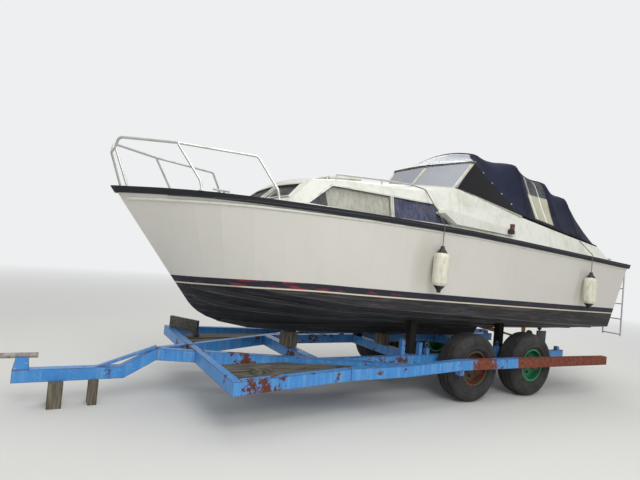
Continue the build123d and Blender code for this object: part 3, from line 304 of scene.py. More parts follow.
def hull_paint():
    """Gelcoat topsides with a fender smear and a painted fender shadow, worn boot-top, cream line, and
    scuffed antifouling with painted highlights on its edges.
    """
    material, tree, shader = new_material("hull_paint", Coat_Weight=0.15, Coat_Roughness=0.25)
    coords = boat_coords(tree)
    x, _, z = axes(coords)
    forward = largest(minus(x, SINKS_FROM_X), 0.0)
    height = plus(z, times(maths("POWER", forward, BOOT_POWER), BOOT_DROP))
    above_boot = above(height, BOOT_TOP_Z)
    above_line = above(height, BOOT_TOP_Z - LINE_BELOW - LINE_HALF)
    above_line_top = above(height, BOOT_TOP_Z - LINE_BELOW + LINE_HALF)
    runs = noise(stretched(coords, (9, 9, 0.7)), 1.6, 5)
    clouds = noise(coords, 1.1, 3)
    topsides = stained(runs, 0.55, 0.9, 0.22, WHITE_GEL, srgb(184, 180, 166))
    topsides = stained(clouds, 0.45, 0.75, 0.3, topsides, srgb(196, 192, 182))
    # Darker grey by the fenders: a smear at the fore one and a painted shadow at the aft one
    for middle_x, middle_z, half_x, half_z in FENDER_SMEAR_AND_SHADOW:
        across, upward = over(minus(x, middle_x), half_x), over(minus(z, middle_z), half_z)
        away = plus(times(across, across), times(upward, upward))
        topsides = mixed(times(ramp(away, (0.0, 0.5), (1.0, 0)), clouds), topsides, SMEAR_AND_SHADOW_GREY)
    worn = noise(stretched(coords, (1.8, 1.8, 14)), 2.4, 8, 0.7)
    fore_half = ramp(plus(times(x, 0.15), 0.5), (0.25, 0.0), (0.6, 0.06))
    boot = stained(plus(worn, fore_half), 0.60, 0.64, 1, NAVY, OLD_RED)
    scuffs = noise(stretched(coords, (0.5, 0.9, 12)), 3.4, 10, 0.74)
    bottom = stained(scuffs, 0.50, 0.70, 0.9, BOTTOM_BLACK, BOTTOM_GREY)
    pinks = noise(stretched(coords, (0.4, 0.6, 7)), 3.1, 9, 0.72)
    near_line = ramp(minus(BOOT_TOP_Z, height), (0.06, 0.07), (0.30, -0.05))
    bottom = stained(plus(pinks, near_line), 0.58, 0.70, 0.75, bottom, BOTTOM_PINK)
    # Lighter pink-grey at the bottom's sharp edges, the spray rails among them: rubbed wear and painted
    # highlight
    rubbed_edge_and_highlight = times(edge_wear(tree, 0.008), scuffs)
    bottom = stained(rubbed_edge_and_highlight, 0.02, 0.06, 0.8, bottom, srgb(142, 136, 130))
    colour = mixed(above_line, bottom, CREAM)
    colour = mixed(above_line_top, colour, boot)
    colour = mixed(above_boot, colour, topsides)
    rough = mixed(above_boot, (0.8, 0.8, 0.8), ramp(clouds, (0.3, 0.34), (0.8, 0.55)))
    normal = mixed(above_boot, bump(scuffs, 0.25, 0.004), true_normal(tree))
    feed(shader, Base_Color=colour, Roughness=rough, Normal=normal)
    return material


dress(hull_paint(), "hull")

# %% [markdown]
# Deck and cabin are the same gelcoat, lying flatter, so water has left grey-green stains and black
# specks. Stains gather where dirt settles: streaks run down the sides and blotches lie on top. The
# corners that ambient occlusion finds are darkened brown, partly mould and partly painted shade. One
# function makes every gelcoat, so only the colours and the amount of dirt differ.

# %% Deck and cabin gelcoat
CORNER_REACH = 0.045


def gelcoat(name, base, stain, amount):
    """Off-white gelcoat with green-grey blotches, runs, dark specks and corners darkened brown: mould and
    painted shade.
    """
    material, tree, shader = new_material(name, Coat_Weight=0.1, Coat_Roughness=0.3)
    coords = boat_coords(tree)
    blotches = noise(coords, 3.3, 8, 0.65)
    runs = noise(stretched(coords, (14, 14, 1.2)), 1.8, 6, 0.6)
    specks = noise(coords, 70.0, 3, 0.5)
    colour = stained(blotches, 0.48, 0.78, amount, base, stain)
    colour = stained(runs, 0.55, 0.8, amount * 0.8, colour, stain)
    colour = stained(specks, 0.70, 0.74, 0.5, colour, srgb(60, 62, 52))
    # Brown where ambient occlusion finds a corner: mould, and painted shade as well
    corner = add_node(tree, "AmbientOcclusion", {"Distance": CORNER_REACH}, samples=6).outputs["AO"]
    mould_and_painted_shade = ramp(minus(blotches, corner), (0.0, 0), (0.22, amount * 1.5))
    colour = mixed(mould_and_painted_shade, colour, srgb(92, 82, 44))
    rough = ramp(blotches, (0.3, 0.38), (0.8, 0.62))
    feed(shader, Base_Color=colour, Roughness=rough, Normal=bump(blotches, 0.05, 0.003))
    return material


cabin_gel = gelcoat("cabin_gelcoat", srgb(222, 222, 212), srgb(152, 152, 126), 0.5)
deck_gel = gelcoat("deck_gelcoat", srgb(206, 210, 208), srgb(142, 148, 132), 0.6)
dress(cabin_gel, "cabin", "coaming", "roof_hatch")
dress(deck_gel, "deck")
dress(gelcoat("liner_gelcoat", srgb(212, 212, 204), srgb(160, 158, 142), 0.35),
      "cockpit_liner", "dash", "seat_boxes", "bulkhead")

# %% [markdown]
# The trailer is box section under a bright blue paint that chips in flakes, in clusters and most of all at
# its edges, down to dark rust. The port rail has lost more. It has one bare patch beside the front wheel,
# then a stretch of blue, then a bare tail, and a second mask gives both their ragged ends. Noise in
# Object coordinates suits a welded frame better than an image, because it runs on over every joint.

# %% Trailer paint
BLUE = srgb(58, 136, 206)
BLUE_PALE = srgb(124, 176, 216)
RUST_DARK = srgb(66, 38, 30)
RUST_RED = srgb(150, 78, 52)
RUST_CHIP = srgb(116, 62, 44)
PRIMER = srgb(196, 196, 192)
# On the port rail: where the bare tail starts, and the bare patch's middle and half length
BARE_FROM_X = TRAILER_X - 3.84
PATCH_X, PATCH_HALF = TRAILER_X - 3.27, 0.210


def chipped_paint(name, bare_rail=False):
    """Blue paint with pale scratches, chips and rust; the bare rail also has its patch and its tail."""
    material, tree, shader = new_material(name)
    coords = object_coords(tree)
    streaks = noise(stretched(coords, (22, 22, 2)), 1.4, 5)
    paint = stained(streaks, 0.45, 0.75, 0.6, BLUE, BLUE_PALE)
    scratches = noise(stretched(coords, (10, 26, 26)), 2.2, 9, 0.74)
    paint = stained(scratches, 0.62, 0.65, 0.8, paint, PRIMER)
    flakes = noise(coords, 6.0, 9, 0.72)
    clusters = times(minus(noise(coords, 1.9, 3), 0.5), 0.55)
    worn = plus(plus(flakes, clusters), times(edge_wear(tree), 2.0))
    chips, red = ramp(worn, (0.600, 0), (0.620, 1)), RUST_CHIP
    if bare_rail:
        along, side, _ = axes(coords)
        patch = minus(PATCH_HALF, maths("ABSOLUTE", minus(along, PATCH_X)))
        behind = largest(minus(BARE_FROM_X, along), patch)
        islands = times(minus(noise(coords, 5.5, 9, 0.70), 0.5), 1.3)
        bare = times(ramp(plus(behind, islands), (0.0, 0), (0.03, 1)), above(side, 0.0))
        chips, red = largest(chips, bare), mixed(bare, RUST_CHIP, RUST_RED)
    grain = noise(coords, 38.0, 8, 0.7)
    rust = stained(grain, 0.35, 0.65, 1, RUST_DARK, red)
    colour = mixed(chips, paint, rust)
    rough = mixed(chips, (0.42, 0.42, 0.42), (0.9, 0.9, 0.9))
    height = minus(times(grain, 0.4), chips)
    feed(shader, Base_Color=colour, Roughness=rough, Normal=bump(height, 0.5, 0.002))
    return material


frame_paint = chipped_paint("frame_paint")
dress(frame_paint, "cross_beams", "a_frame", "inner_beams", "drawbar")
dress(chipped_paint("rail_paint", bare_rail=True), "side_rails")


def rusty(name, dark, red, scale=24.0):
    """Steel gone to rust."""
    material, tree, shader = new_material(name)
    coords = object_coords(tree)
    grain = noise(coords, scale, 9, 0.7)
    patches = noise(coords, scale / 6, 5, 0.6)
    colour = stained(grain, 0.35, 0.65, 1, dark, red)
    colour = stained(patches, 0.5, 0.7, 0.5, colour, srgb(150, 118, 92))
    feed(shader, Base_Color=colour, Roughness=ramp(grain, (0.3, 0.75), (0.7, 0.95)),
         Normal=bump(grain, 0.5, 0.002))
    return material


dress(rusty("axle_rust", RUST_DARK, srgb(96, 58, 42)), "axles")
dress(rusty("tow_tube_steel", srgb(112, 102, 94), srgb(182, 176, 168)), "tow_tube")

# %% [markdown]
# Rubber strake, canopy track and helm are black of different ages. Stainless tube stays bright but is
# dulled by salt, and the window frames are anodised aluminium. The panes are thin and dusty. Beyond the
# windscreen's corner posts, the quarter panes are painted nearly black and nearly opaque, a painted shade
# for the dark inside seen through them. A see-through Principled shader with a dust mask stands in for
# real refraction, which so thin a pane wouldn't show.

# %% Rubber, metal and glass


def dull_black(name, base, pale, scale, rough):
    """Black rubber or plastic, greyed in patches."""
    material, tree, shader = new_material(name)
    coords = object_coords(tree)
    patches = noise(coords, scale, 7, 0.65)
    fine = noise(coords, scale * 14, 3)
    feed(shader, Base_Color=stained(patches, 0.4, 0.75, 1, base, pale),
         Roughness=ramp(patches, (0.3, rough), (0.8, min(rough + 0.2, 1.0))),
         Normal=bump(fine, 0.15, 0.001))
    return material


def worn_metal(name, base, rough, stain):
    """Bare metal with a brushed bump and dull stains."""
    material, tree, shader = new_material(name, Metallic=0.9)
    coords = object_coords(tree)
    stains = noise(coords, 9.0, 7, 0.65)
    brushed = noise(stretched(coords, (6, 60, 60)), 6.0, 3)
    feed(shader, Base_Color=stained(stains, 0.5, 0.75, 0.7, base, stain),
         Roughness=ramp(stains, (0.3, rough), (0.8, min(rough + 0.3, 1.0))),
         Normal=bump(brushed, 0.05, 0.0005))
    return material


# The corner posts in plan: how fast they come in as they lean aft, and the line that they stand on
POST_SLOPE, POST_LINE = 0.276, 1.316
# The screen's top rail: how fast it climbs going aft, and its height over the boat's origin
RAIL_SLOPE, RAIL_LEVEL = 0.187, 1.925
# The quarter panes beyond the corner posts: near black and near opaque, painted shade for the dark inside
QUARTER_PAINTED_SHADE, QUARTER_SHADE_ALPHA = srgb(8, 9, 13), (0.97, 0.97, 0.97)


def glass(name, tint, rough, dirt, alpha, painted_shade_beyond=None):
    """A thin dusty pane that shows what is behind it, and beyond a line in plan, where one is given, a
    near-black painted shade.
    """
    material, tree, shader = new_material(name, IOR=1.45, Specular_IOR_Level=0.28)
    coords = boat_coords(tree)
    dust = noise(coords, 5.0, 8, 0.65)
    mask = ramp(dust, (0.35, alpha), (0.8, min(alpha + dirt, 1.0)))
    colour = stained(dust, 0.4, 0.8, 0.8, tint, srgb(168, 168, 158))
    if painted_shade_beyond is not None:
        along, side, _ = axes(coords)
        # Beyond the line the pane becomes a near-black, near-opaque painted shade
        beyond = above(maths("MULTIPLY_ADD", along, -POST_SLOPE, maths("ABSOLUTE", side)), painted_shade_beyond)
        colour = mixed(beyond, colour, QUARTER_PAINTED_SHADE)
        mask = mixed(beyond, mask, QUARTER_SHADE_ALPHA)
    feed(shader, Base_Color=colour, Roughness=ramp(dust, (0.3, rough), (0.8, rough + 0.25)), Alpha=mask)
    return material


def screen_paint():
    """The windscreen's frame: cream posts, and a top rail black with mould and specks of moss."""
    material, tree, shader = new_material("screen_paint", Roughness=0.5)
    coords = boat_coords(tree)
    along, _, height = axes(coords)
    level = maths("MULTIPLY_ADD", along, RAIL_SLOPE, height)
    top = ramp(minus(level, RAIL_LEVEL), (0.0, 0), (0.010, 1))
    stains = noise(coords, 12.0, 7, 0.65)
    specks = noise(coords, 55.0, 3)
    cream = stained(stains, 0.45, 0.7, 0.6, srgb(220, 214, 196), srgb(132, 124, 96))
    mouldy = stained(specks, 0.52, 0.62, 1, srgb(34, 34, 32), srgb(130, 128, 108))
    feed(shader, Base_Color=mixed(top, cream, mouldy), Normal=bump(stains, 0.1, 0.002))
    return material


dress(dull_black("strake_rubber", srgb(10, 11, 18), srgb(28, 30, 40), 3.0, 0.6), "rubbing_strake")
dress(dull_black("track_black", srgb(20, 20, 20), srgb(52, 54, 48), 9.0, 0.5), "canopy_track")
dress(dull_black("helm_black", srgb(16, 16, 17), srgb(34, 34, 34), 8.0, 0.35), "helm_wheel")
stainless = worn_metal("stainless", srgb(196, 196, 194), 0.22, srgb(150, 140, 120))
dress(stainless, "pulpit", "canopy_hoops", "boarding_ladder", "ladder_brackets")
dress(worn_metal("cleat_metal", srgb(176, 176, 174), 0.3, srgb(120, 112, 98)), "mooring_cleats")
dress(worn_metal("anodised", srgb(196, 196, 188), 0.42, srgb(120, 120, 104)), "window_trims")
dress(screen_paint(), "windscreen_frame")
dress(worn_metal("bronze", srgb(150, 118, 66), 0.5, srgb(70, 92, 78)), "propeller", "shaft_gear")
dress(glass("screen_glass", srgb(170, 174, 187), 0.08, 0.16, 0.74, POST_LINE), "windscreen_glass")
dress(glass("cabin_glass", srgb(120, 120, 134), 0.08, 0.16, 0.10), "front_windows", "side_windows")

# %% [markdown]
# Wood ages grey. The prop blocks and keel blocks are baulks with cracks along the grain, the boards in the
# frame are greener and dirtier, and the chocks under the bilges are painted almost black, a painted shade
# for where they stand under the hull. Noise drawn out along one axis reads as grain, so the function takes
# the axis that each piece was sawn along.

# %% Timber


def timber(name, light, dark, green, along):
    """Weathered wood: grain along one axis, dark cracks, a green film."""
    material, tree, shader = new_material(name, Roughness=0.9)
    coords = object_coords(tree)
    scale = [34, 34, 34]
    scale[along] = 2.5
    grain = noise(stretched(coords, tuple(scale)), 1.6, 8, 0.65)
    film = noise(coords, 5.0, 5)
    colour = stained(grain, 0.35, 0.65, 1, dark, light)
    colour = stained(film, 0.5, 0.7, 0.45, colour, green)
    feed(shader, Base_Color=colour, Normal=bump(grain, 0.6, 0.003))
    return material


GREEN_FILM = srgb(96, 104, 78)
dress(timber("block_timber", srgb(132, 122, 106), srgb(64, 56, 46), GREEN_FILM, 2),
      "prop_blocks", "keel_blocks")
dress(timber("board_timber", srgb(126, 122, 112), srgb(44, 40, 34), GREEN_FILM, 0), "boards")
# The chocks stand under the hull, and their near-black is painted shade
dress(timber("shaded_chock_timber", srgb(40, 36, 34), srgb(16, 15, 15), srgb(30, 36, 28), 2), "bilge_chocks")
dress(timber("door_timber", srgb(142, 92, 52), srgb(86, 50, 28), srgb(120, 76, 44), 2), "companion_door")

# %% [markdown]
# The wheel rims are painted, the rear pair emerald green and the front pair a rusty dark green. The posts
# on the frame share its blue. The lamp lenses are dull plastic, dark red to port and dark green to
# starboard, and one step on the side axis tells them apart. Engine and rudder are painted too.

# %% Rims, posts, rails, engine and lamps


def rusty_paint(name, paint, amount):
    """Paint with rust showing through."""
    material, tree, shader = new_material(name)
    coords = object_coords(tree)
    flakes = noise(coords, 9.0, 8, 0.7)
    grain = noise(coords, 40.0, 6, 0.7)
    rust = stained(grain, 0.35, 0.65, 1, RUST_DARK, RUST_RED)
    chips = ramp(plus(flakes, edge_wear(tree, 0.006)), (amount, 0), (amount + 0.04, 1))
    feed(shader, Base_Color=mixed(chips, paint, rust),
         Roughness=ramp(chips, (0, 0.45), (1, 0.9)), Normal=bump(grain, 0.2, 0.001))
    return material


dress(rusty_paint("rear_rim_green", srgb(36, 128, 88), 0.60), "rim_rear_port", "rim_rear_starboard")
dress(rusty_paint("front_rim_green", srgb(58, 74, 54), 0.50), "rim_front_port", "rim_front_starboard")
dress(rusty_paint("engine_paint", srgb(140, 44, 34), 0.66), "engine")
dress(rusty_paint("rudder_paint", srgb(44, 48, 56), 0.60), "rudder")
dress(frame_paint, "lashing_posts")
dress(stainless, "grab_rails")


def lamp_plastic():
    """Lamp lenses: dark red to port, dark green to starboard, dulled by dust."""
    material, tree, shader = new_material("lamp_plastic", Coat_Weight=0.4)
    coords = object_coords(tree)
    dust = noise(coords, 30.0, 5)
    colour = mixed(above(axes(coords)[1], 0.0), srgb(12, 60, 42), srgb(88, 14, 24))
    colour = stained(dust, 0.5, 0.8, 0.4, colour, srgb(60, 50, 46))
    feed(shader, Base_Color=colour, Roughness=ramp(dust, (0.3, 0.25), (0.8, 0.5)))
    return material


lens_plastic = lamp_plastic()
dress(dull_black("lamp_foot", srgb(18, 18, 20), srgb(48, 44, 40), 20.0, 0.5), "nav_lamps")

# %% [markdown]
# A blown fender is cream, with a black neck at each end. Port and starboard hang alike, but the forward
# pair hangs a little higher than the aft pair in the boat's frame, so the paint measures from each top.
# The ropes that hold them are laid fibre, greyed.

# %% Fenders and their ropes
FENDER_TOPS = {"fore": 1.170, "aft": 1.119}
FENDER_SPLIT_X = -2.5
# How far below a fender's top the upper neck ends and the lower one starts
UPPER_NECK, LOWER_NECK = 0.078, 0.432


def fender_vinyl():
    """Cream vinyl with black necks, dirt in streaks."""
    material, tree, shader = new_material("fender_vinyl", Coat_Weight=0.1)
    coords = boat_coords(tree)
    along, _, height = axes(coords)
    fore = above(along, FENDER_SPLIT_X)
    top = plus(times(fore, FENDER_TOPS["fore"] - FENDER_TOPS["aft"]), FENDER_TOPS["aft"])
    depth = minus(top, height)
    neck = largest(maths("LESS_THAN", depth, UPPER_NECK), above(depth, LOWER_NECK))
    dirt = noise(stretched(coords, (14, 14, 3)), 2.0, 6, 0.65)
    cream = stained(dirt, 0.45, 0.75, 0.7, srgb(226, 222, 204), srgb(150, 146, 124))
    feed(shader, Base_Color=mixed(neck, cream, srgb(20, 20, 22)),
         Roughness=ramp(dirt, (0.3, 0.35), (0.8, 0.6)), Normal=bump(dirt, 0.05, 0.002))
    return material


dress(fender_vinyl(), "fenders")


def rope_fibre():
    """Laid polyester: a slanting ripple along the rope, greyed."""
    material, tree, shader = new_material("rope_fibre", Roughness=0.9)
    coords = object_coords(tree)
    strands = add_node(tree, "TexWave", {"Vector": coords, "Scale": 46.0, "Distortion": 0.6},
                       wave_type="BANDS", bands_direction="DIAGONAL").outputs["Fac"]
    dirt = noise(coords, 12.0, 4)
    colour = stained(strands, 0.2, 0.8, 1, srgb(70, 68, 62), srgb(128, 124, 112))
    colour = stained(dirt, 0.5, 0.8, 0.5, colour, srgb(52, 54, 48))
    feed(shader, Base_Color=colour, Normal=bump(strands, 0.5, 0.001))
    return material


rope_material = rope_fibre()
for rope in ropes:
    rope.data.materials.append(rope_material)

# %% [markdown]
# A few helpers build pieces. One turns points and faces into an object that rides on a body. One opens a
# Geometry Nodes tree with its named inputs, and one ends it. One runs such a tree on a mesh of points or
# lines and keeps the result as a plain mesh, because the export drops live instances.

# %% Helpers for pieces


def link(piece):
    """Put a new object in the scene."""
    bpy.context.scene.collection.objects.link(piece)
    return piece


def piece_from(name, points, faces, material, body="craft", thickness=0.0):
    """A mesh piece in its place, riding on a body."""
    mesh = bpy.data.meshes.new(name)
    mesh.from_pydata([tuple(point) for point in points], [], faces)
    mesh.materials.append(material)
    piece = link(bpy.data.objects.new(name, mesh))
    mesh.shade_smooth()
    if thickness:
        wall = piece.modifiers.new("wall", "SOLIDIFY")
        wall.thickness = thickness
        wall.offset = -1
    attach(piece, body)
    return piece


def open_tree(name, geometry, result, **numbers):
    """A Geometry Nodes tree with its inputs and its output, and the outputs of its input node."""
    tree = bpy.data.node_groups.new(name, "GeometryNodeTree")
    tree.interface.new_socket(geometry, in_out="INPUT", socket_type="NodeSocketGeometry")
    for label, value in numbers.items():
        kind = "NodeSocketInt" if isinstance(value, int) else "NodeSocketFloat"
        tree.interface.new_socket(label, in_out="INPUT", socket_type=kind).default_value = value
    tree.interface.new_socket("Finish", in_out="INPUT", socket_type="NodeSocketMaterial")
    tree.interface.new_socket(result, in_out="OUTPUT", socket_type="NodeSocketGeometry")
    return tree, tree.nodes.new("NodeGroupInput").outputs


def end_tree(tree, made, finish, result):
    """Makes instances real, sets the material and hands the result out."""
    real = node(tree, "GeometryNodeRealizeInstances", {"Geometry": made})
    dressed = node(tree, "GeometryNodeSetMaterial", {"Geometry": real.outputs["Geometry"],
                                                     "Material": finish})
    node(tree, "NodeGroupOutput", {result: dressed.outputs["Geometry"]})
    print(tree.name, len(tree.nodes), "nodes")
    return tree


def set_input(modifier, tree, name, value):
    """Sets a modifier's input by its socket's identifier."""
    for item in tree.interface.items_tree:
        if item.name == name:
            modifier[item.identifier] = value


def run_tree(tree, mesh, name, body, slot, **inputs):
    """The mesh put through a tree, as a new plain piece."""
    host = link(bpy.data.objects.new(name + "_host", mesh))
    modifier = host.modifiers.new("tree", "NODES")
    modifier.node_group = tree
    for label, value in inputs.items():
        set_input(modifier, tree, label, value)
    made = bpy.data.meshes.new_from_object(host.evaluated_get(bpy.context.evaluated_depsgraph_get()))
    bpy.data.objects.remove(host)
    made.name = name
    piece = link(bpy.data.objects.new(name, made))
    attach(piece, body)
    print(name, len(made.polygons), "faces")
    return piece


# %% [markdown]
# Fasteners repeat everywhere: turn buttons along the canopy's edge, screws round the windows, nuts on
# the hubs, feet under the pulpit. One Geometry Nodes tree serves them all. Each point carries the way
# its fastener faces, and the tree sets a shallow domed head there and turns it that way.

# %% Tree for fasteners
HEAD_TAPER = 0.72


def fastener_tree():
    """Heads on points, each facing along the point's own direction."""
    tree, given = open_tree("fastener heads", "Points", "Heads", Radius=0.006, Height=0.004, Sides=12)
    shank = node(tree, "GeometryNodeMeshCone", {"Vertices": given["Sides"], "Radius Bottom": given["Radius"],
                                                "Radius Top": times(given["Radius"], HEAD_TAPER),
                                                "Depth": given["Height"]}, fill_type="NGON")
    way = node(tree, "GeometryNodeInputNamedAttribute", {"Name": "way"}, data_type="FLOAT_VECTOR")
    turn = node(tree, "FunctionNodeAlignRotationToVector", {"Vector": way.outputs["Attribute"]}, axis="Z")
    heads = node(tree, "GeometryNodeInstanceOnPoints", {"Points": given["Points"],
                                                        "Instance": shank.outputs["Mesh"],
                                                        "Rotation": turn.outputs["Rotation"]})
    return end_tree(tree, heads.outputs["Instances"], given["Finish"], "Heads")


HEADS = fastener_tree()


def fasteners(name, places, radius, height, material, body="craft", slot="stainless", sides=12):
    """One piece of many heads; each place is a point and the way it faces."""
    mesh = bpy.data.meshes.new(name)
    mesh.from_pydata([tuple(point) for point, _ in places], [], [])
    way = mesh.attributes.new("way", "FLOAT_VECTOR", "POINT")
    for item, (_, direction) in zip(way.data, places):
        item.vector = Vector(direction).normalized()
    return run_tree(HEADS, mesh, name, body, slot, Radius=radius, Height=height, Sides=sides, Finish=material)


# %% [markdown]
# Tubes and beads follow a path: piping on a hem, a weld along a joint. This second tree takes a path,
# resamples it, makes a round section and roughens it by noise. The noise reads the place alone, so it is
# the same in every run.

# %% Tree for beads


def bead_tree():
    """A round bead along each path, roughened."""
    tree, given = open_tree("bead along a path", "Path", "Bead", Radius=0.005, Spacing=0.01, Roughness=0.0)
    path = node(tree, "GeometryNodeMeshToCurve", {"Mesh": given["Path"]})
    even = node(tree, "GeometryNodeResampleCurve", {"Curve": path.outputs["Curve"],
                                                    "Length": given["Spacing"]}, mode="LENGTH")
    ring = node(tree, "GeometryNodeCurvePrimitiveCircle", {"Resolution": 8, "Radius": given["Radius"]})
    tube = node(tree, "GeometryNodeCurveToMesh", {"Curve": even.outputs["Curve"],
                                                  "Profile Curve": ring.outputs["Curve"], "Fill Caps": True})
    lumps = add_node(tree, "TexNoise", {"Scale": 90.0, "Detail": 2.0}).outputs["Fac"]
    normal = node(tree, "GeometryNodeInputNormal").outputs["Normal"]
    push = add_node(tree, "VectorMath", {0: normal, "Scale": times(minus(lumps, 0.5), given["Roughness"])},
                    operation="SCALE")
    moved = node(tree, "GeometryNodeSetPosition", {"Geometry": tube.outputs["Mesh"],
                                                   "Offset": push.outputs["Vector"]})
    soft = node(tree, "GeometryNodeSetShadeSmooth", {"Geometry": moved.outputs["Geometry"]})
    return end_tree(tree, soft.outputs["Geometry"], given["Finish"], "Bead")


BEAD = bead_tree()


def beads(name, paths, radius, material, slot, spacing, roughness=0.0):
    """One piece of beads; each path is a list of points."""
    points, edges = [], []
    for path in paths:
        first = len(points)
        points.extend(tuple(point) for point in path)
        edges.extend((first + i, first + i + 1) for i in range(len(path) - 1))
    mesh = bpy.data.meshes.new(name)
    mesh.from_pydata(points, edges, [])
    return run_tree(BEAD, mesh, name, "craft", slot, Radius=radius, Spacing=spacing, Roughness=roughness,
                    Finish=material)


# %% [markdown]
# The canopy is one sheet of navy cloth stretched over four hoops. A stretched sheet bellies between its
# supports, both inwards along the bays and round its shoulders. The sheet starts as a grid over the hoop
# sections. Each bay is then let in by a share of its span, and a few tension folds run from hoop to hem.
# A cloth simulation could find that form, but a rule gives the same taut sheet in every run.

# %% Canopy sheet
# Each row: x, foot y, foot z, shoulder y, shoulder z, crown z, in the boat's own frame
CANOPY_ROWS = (
    (-1.598, 0.350, 2.225, 0.325, 2.266, 2.276),
    (-1.965, 0.800, 2.290, 0.740, 2.350, 2.420),
    (-2.170, 0.950, 1.815, 0.640, 2.480, 2.585),
    (-2.880, 0.985, 1.720, 0.690, 2.478, 2.580),
    (-3.510, 1.000, 1.640, 0.710, 2.335, 2.450),
    (-3.930, 1.000, 1.595, 0.760, 2.180, 2.290),
    (-4.440, 0.985, 1.530, 0.930, 1.5250, 1.5275),
)
BAY_STEPS = 14
SIDE_STEPS, CROWN_STEPS = 12, 16
BAY_SAG = (0.0, 0.0, 0.030, 0.034, 0.030, 0.022)
SHEET_INSET = 0.003
# The sheet is let in towards this height; the sag dies out towards the feet, and quickly at the hem
INWARD_Z, FOOT_LOSS, HEM_RATE = 1.9, 0.75, 12
FOLD_DEPTH, FOLDS_ACROSS, FOLDS_ALONG = 0.005, 17, 5
# Rounds of smoothing at a hoop, and how many more in the middle of a bay
HOOP_PASSES, BAY_PASSES = 1, 5


def section_point(row, u):
    """A point of one hoop section, u from -1 at the port foot over 0 at the crown to 1."""
    _, foot_y, foot_z, shoulder_y, shoulder_z, crown_z = row
    side = 1 if u < 0 else -1
    share = abs(u)
    if share > 0.5:
        t = (share - 0.5) * 2
        return side * (shoulder_y + (foot_y - shoulder_y) * t), shoulder_z + (foot_z - shoulder_z) * t
    rise = crown_z - shoulder_z
    radius = (shoulder_y ** 2 + rise ** 2) / (2 * rise)
    angle = math.asin(shoulder_y / radius) * share * 2
    return side * radius * math.sin(angle), crown_z - radius * (1 - math.cos(angle))


def sheet_rows():
    """The grid of the sheet in the boat's frame, row by row from the front."""
    us = [-1 + k / SIDE_STEPS * 0.5 for k in range(SIDE_STEPS)]
    us += [-0.5 + k / CROWN_STEPS for k in range(CROWN_STEPS)]
    us += [0.5 + k / SIDE_STEPS * 0.5 for k in range(SIDE_STEPS + 1)]
    rows = []
    for bay, (front, rear) in enumerate(zip(CANOPY_ROWS, CANOPY_ROWS[1:])):
        last = bay == len(CANOPY_ROWS) - 2
        for step in range(BAY_STEPS + (1 if last else 0)):
            t = step / BAY_STEPS
            belly = 4 * t * (1 - t) * BAY_SAG[bay]
            row = []
            for u in us:
                x = front[0] + (rear[0] - front[0]) * t
                y, z = between(section_point(front, u), section_point(rear, u), t)
                level = 1 - FOOT_LOSS * max(0.0, abs(u) - 0.5) * 2
                hem = max(0.0, min(1.0, (1 - abs(u)) * HEM_RATE))
                fold = FOLD_DEPTH * hem * 4 * t * (1 - t) * math.sin(u * FOLDS_ACROSS + t * FOLDS_ALONG)
                inward = belly * level * hem + SHEET_INSET + (fold if bay > 1 else 0)
                length = math.hypot(y, z - INWARD_Z) or 1.0
                y -= inward * y / length
                z -= inward * (z - INWARD_Z) / length
                row.append(Vector((x, y, z)))
            rows.append(row)
    return rows


def soften(rows):
    """Rounds the shoulders by averaging points with their neighbours, most of all between hoops."""
    for index, row in enumerate(rows):
        t = index % BAY_STEPS / BAY_STEPS
        for _ in range(HOOP_PASSES + round(BAY_PASSES * 4 * t * (1 - t))):
            old = [point.copy() for point in row]
            for k in range(1, len(row) - 1):
                row[k] = old[k] * 0.5 + (old[k - 1] + old[k + 1]) * 0.25
    return rows


grid = soften(sheet_rows())
print("canopy grid", len(grid), "by", len(grid[0]))

# %% [markdown]
# Cutting a mesh along straight lines gives clean hems. Each line of an outline in side view is a plane
# across the boat: bisecting with it puts an edge there, and faces inside the outline can then be taken
# out or given to the clear panels.

# %% Cut the sheet
# Outlines in side view: behind the windscreen, and round the clear panels of side and roof
SCREEN_CUT = ((-1.400, 1.500), (-1.400, 2.229), (-1.585, 2.264), (-1.950, 2.332), (-2.670, 1.712),
              (-2.690, 1.500))
CLEAR_SIDE = ((-2.950, 2.350), (-3.445, 2.335), (-3.400, 1.690), (-2.985, 1.735))
CLEAR_ROOF = ((-1.955, 2.300), (-2.140, 2.490), (-2.158, 2.650), (0.0, 2.650), (0.0, 2.230))
CLEAR_SIDE_FROM_Y = 0.5


def inside(outline, x, z):
    """Whether a point in side view is inside an outline."""
    hit = False
    for (x0, z0), (x1, z1) in sides_of(outline):
        if (z0 > z) != (z1 > z) and x < x0 + (x1 - x0) * (z - z0) / (z1 - z0):
            hit = not hit
    return hit


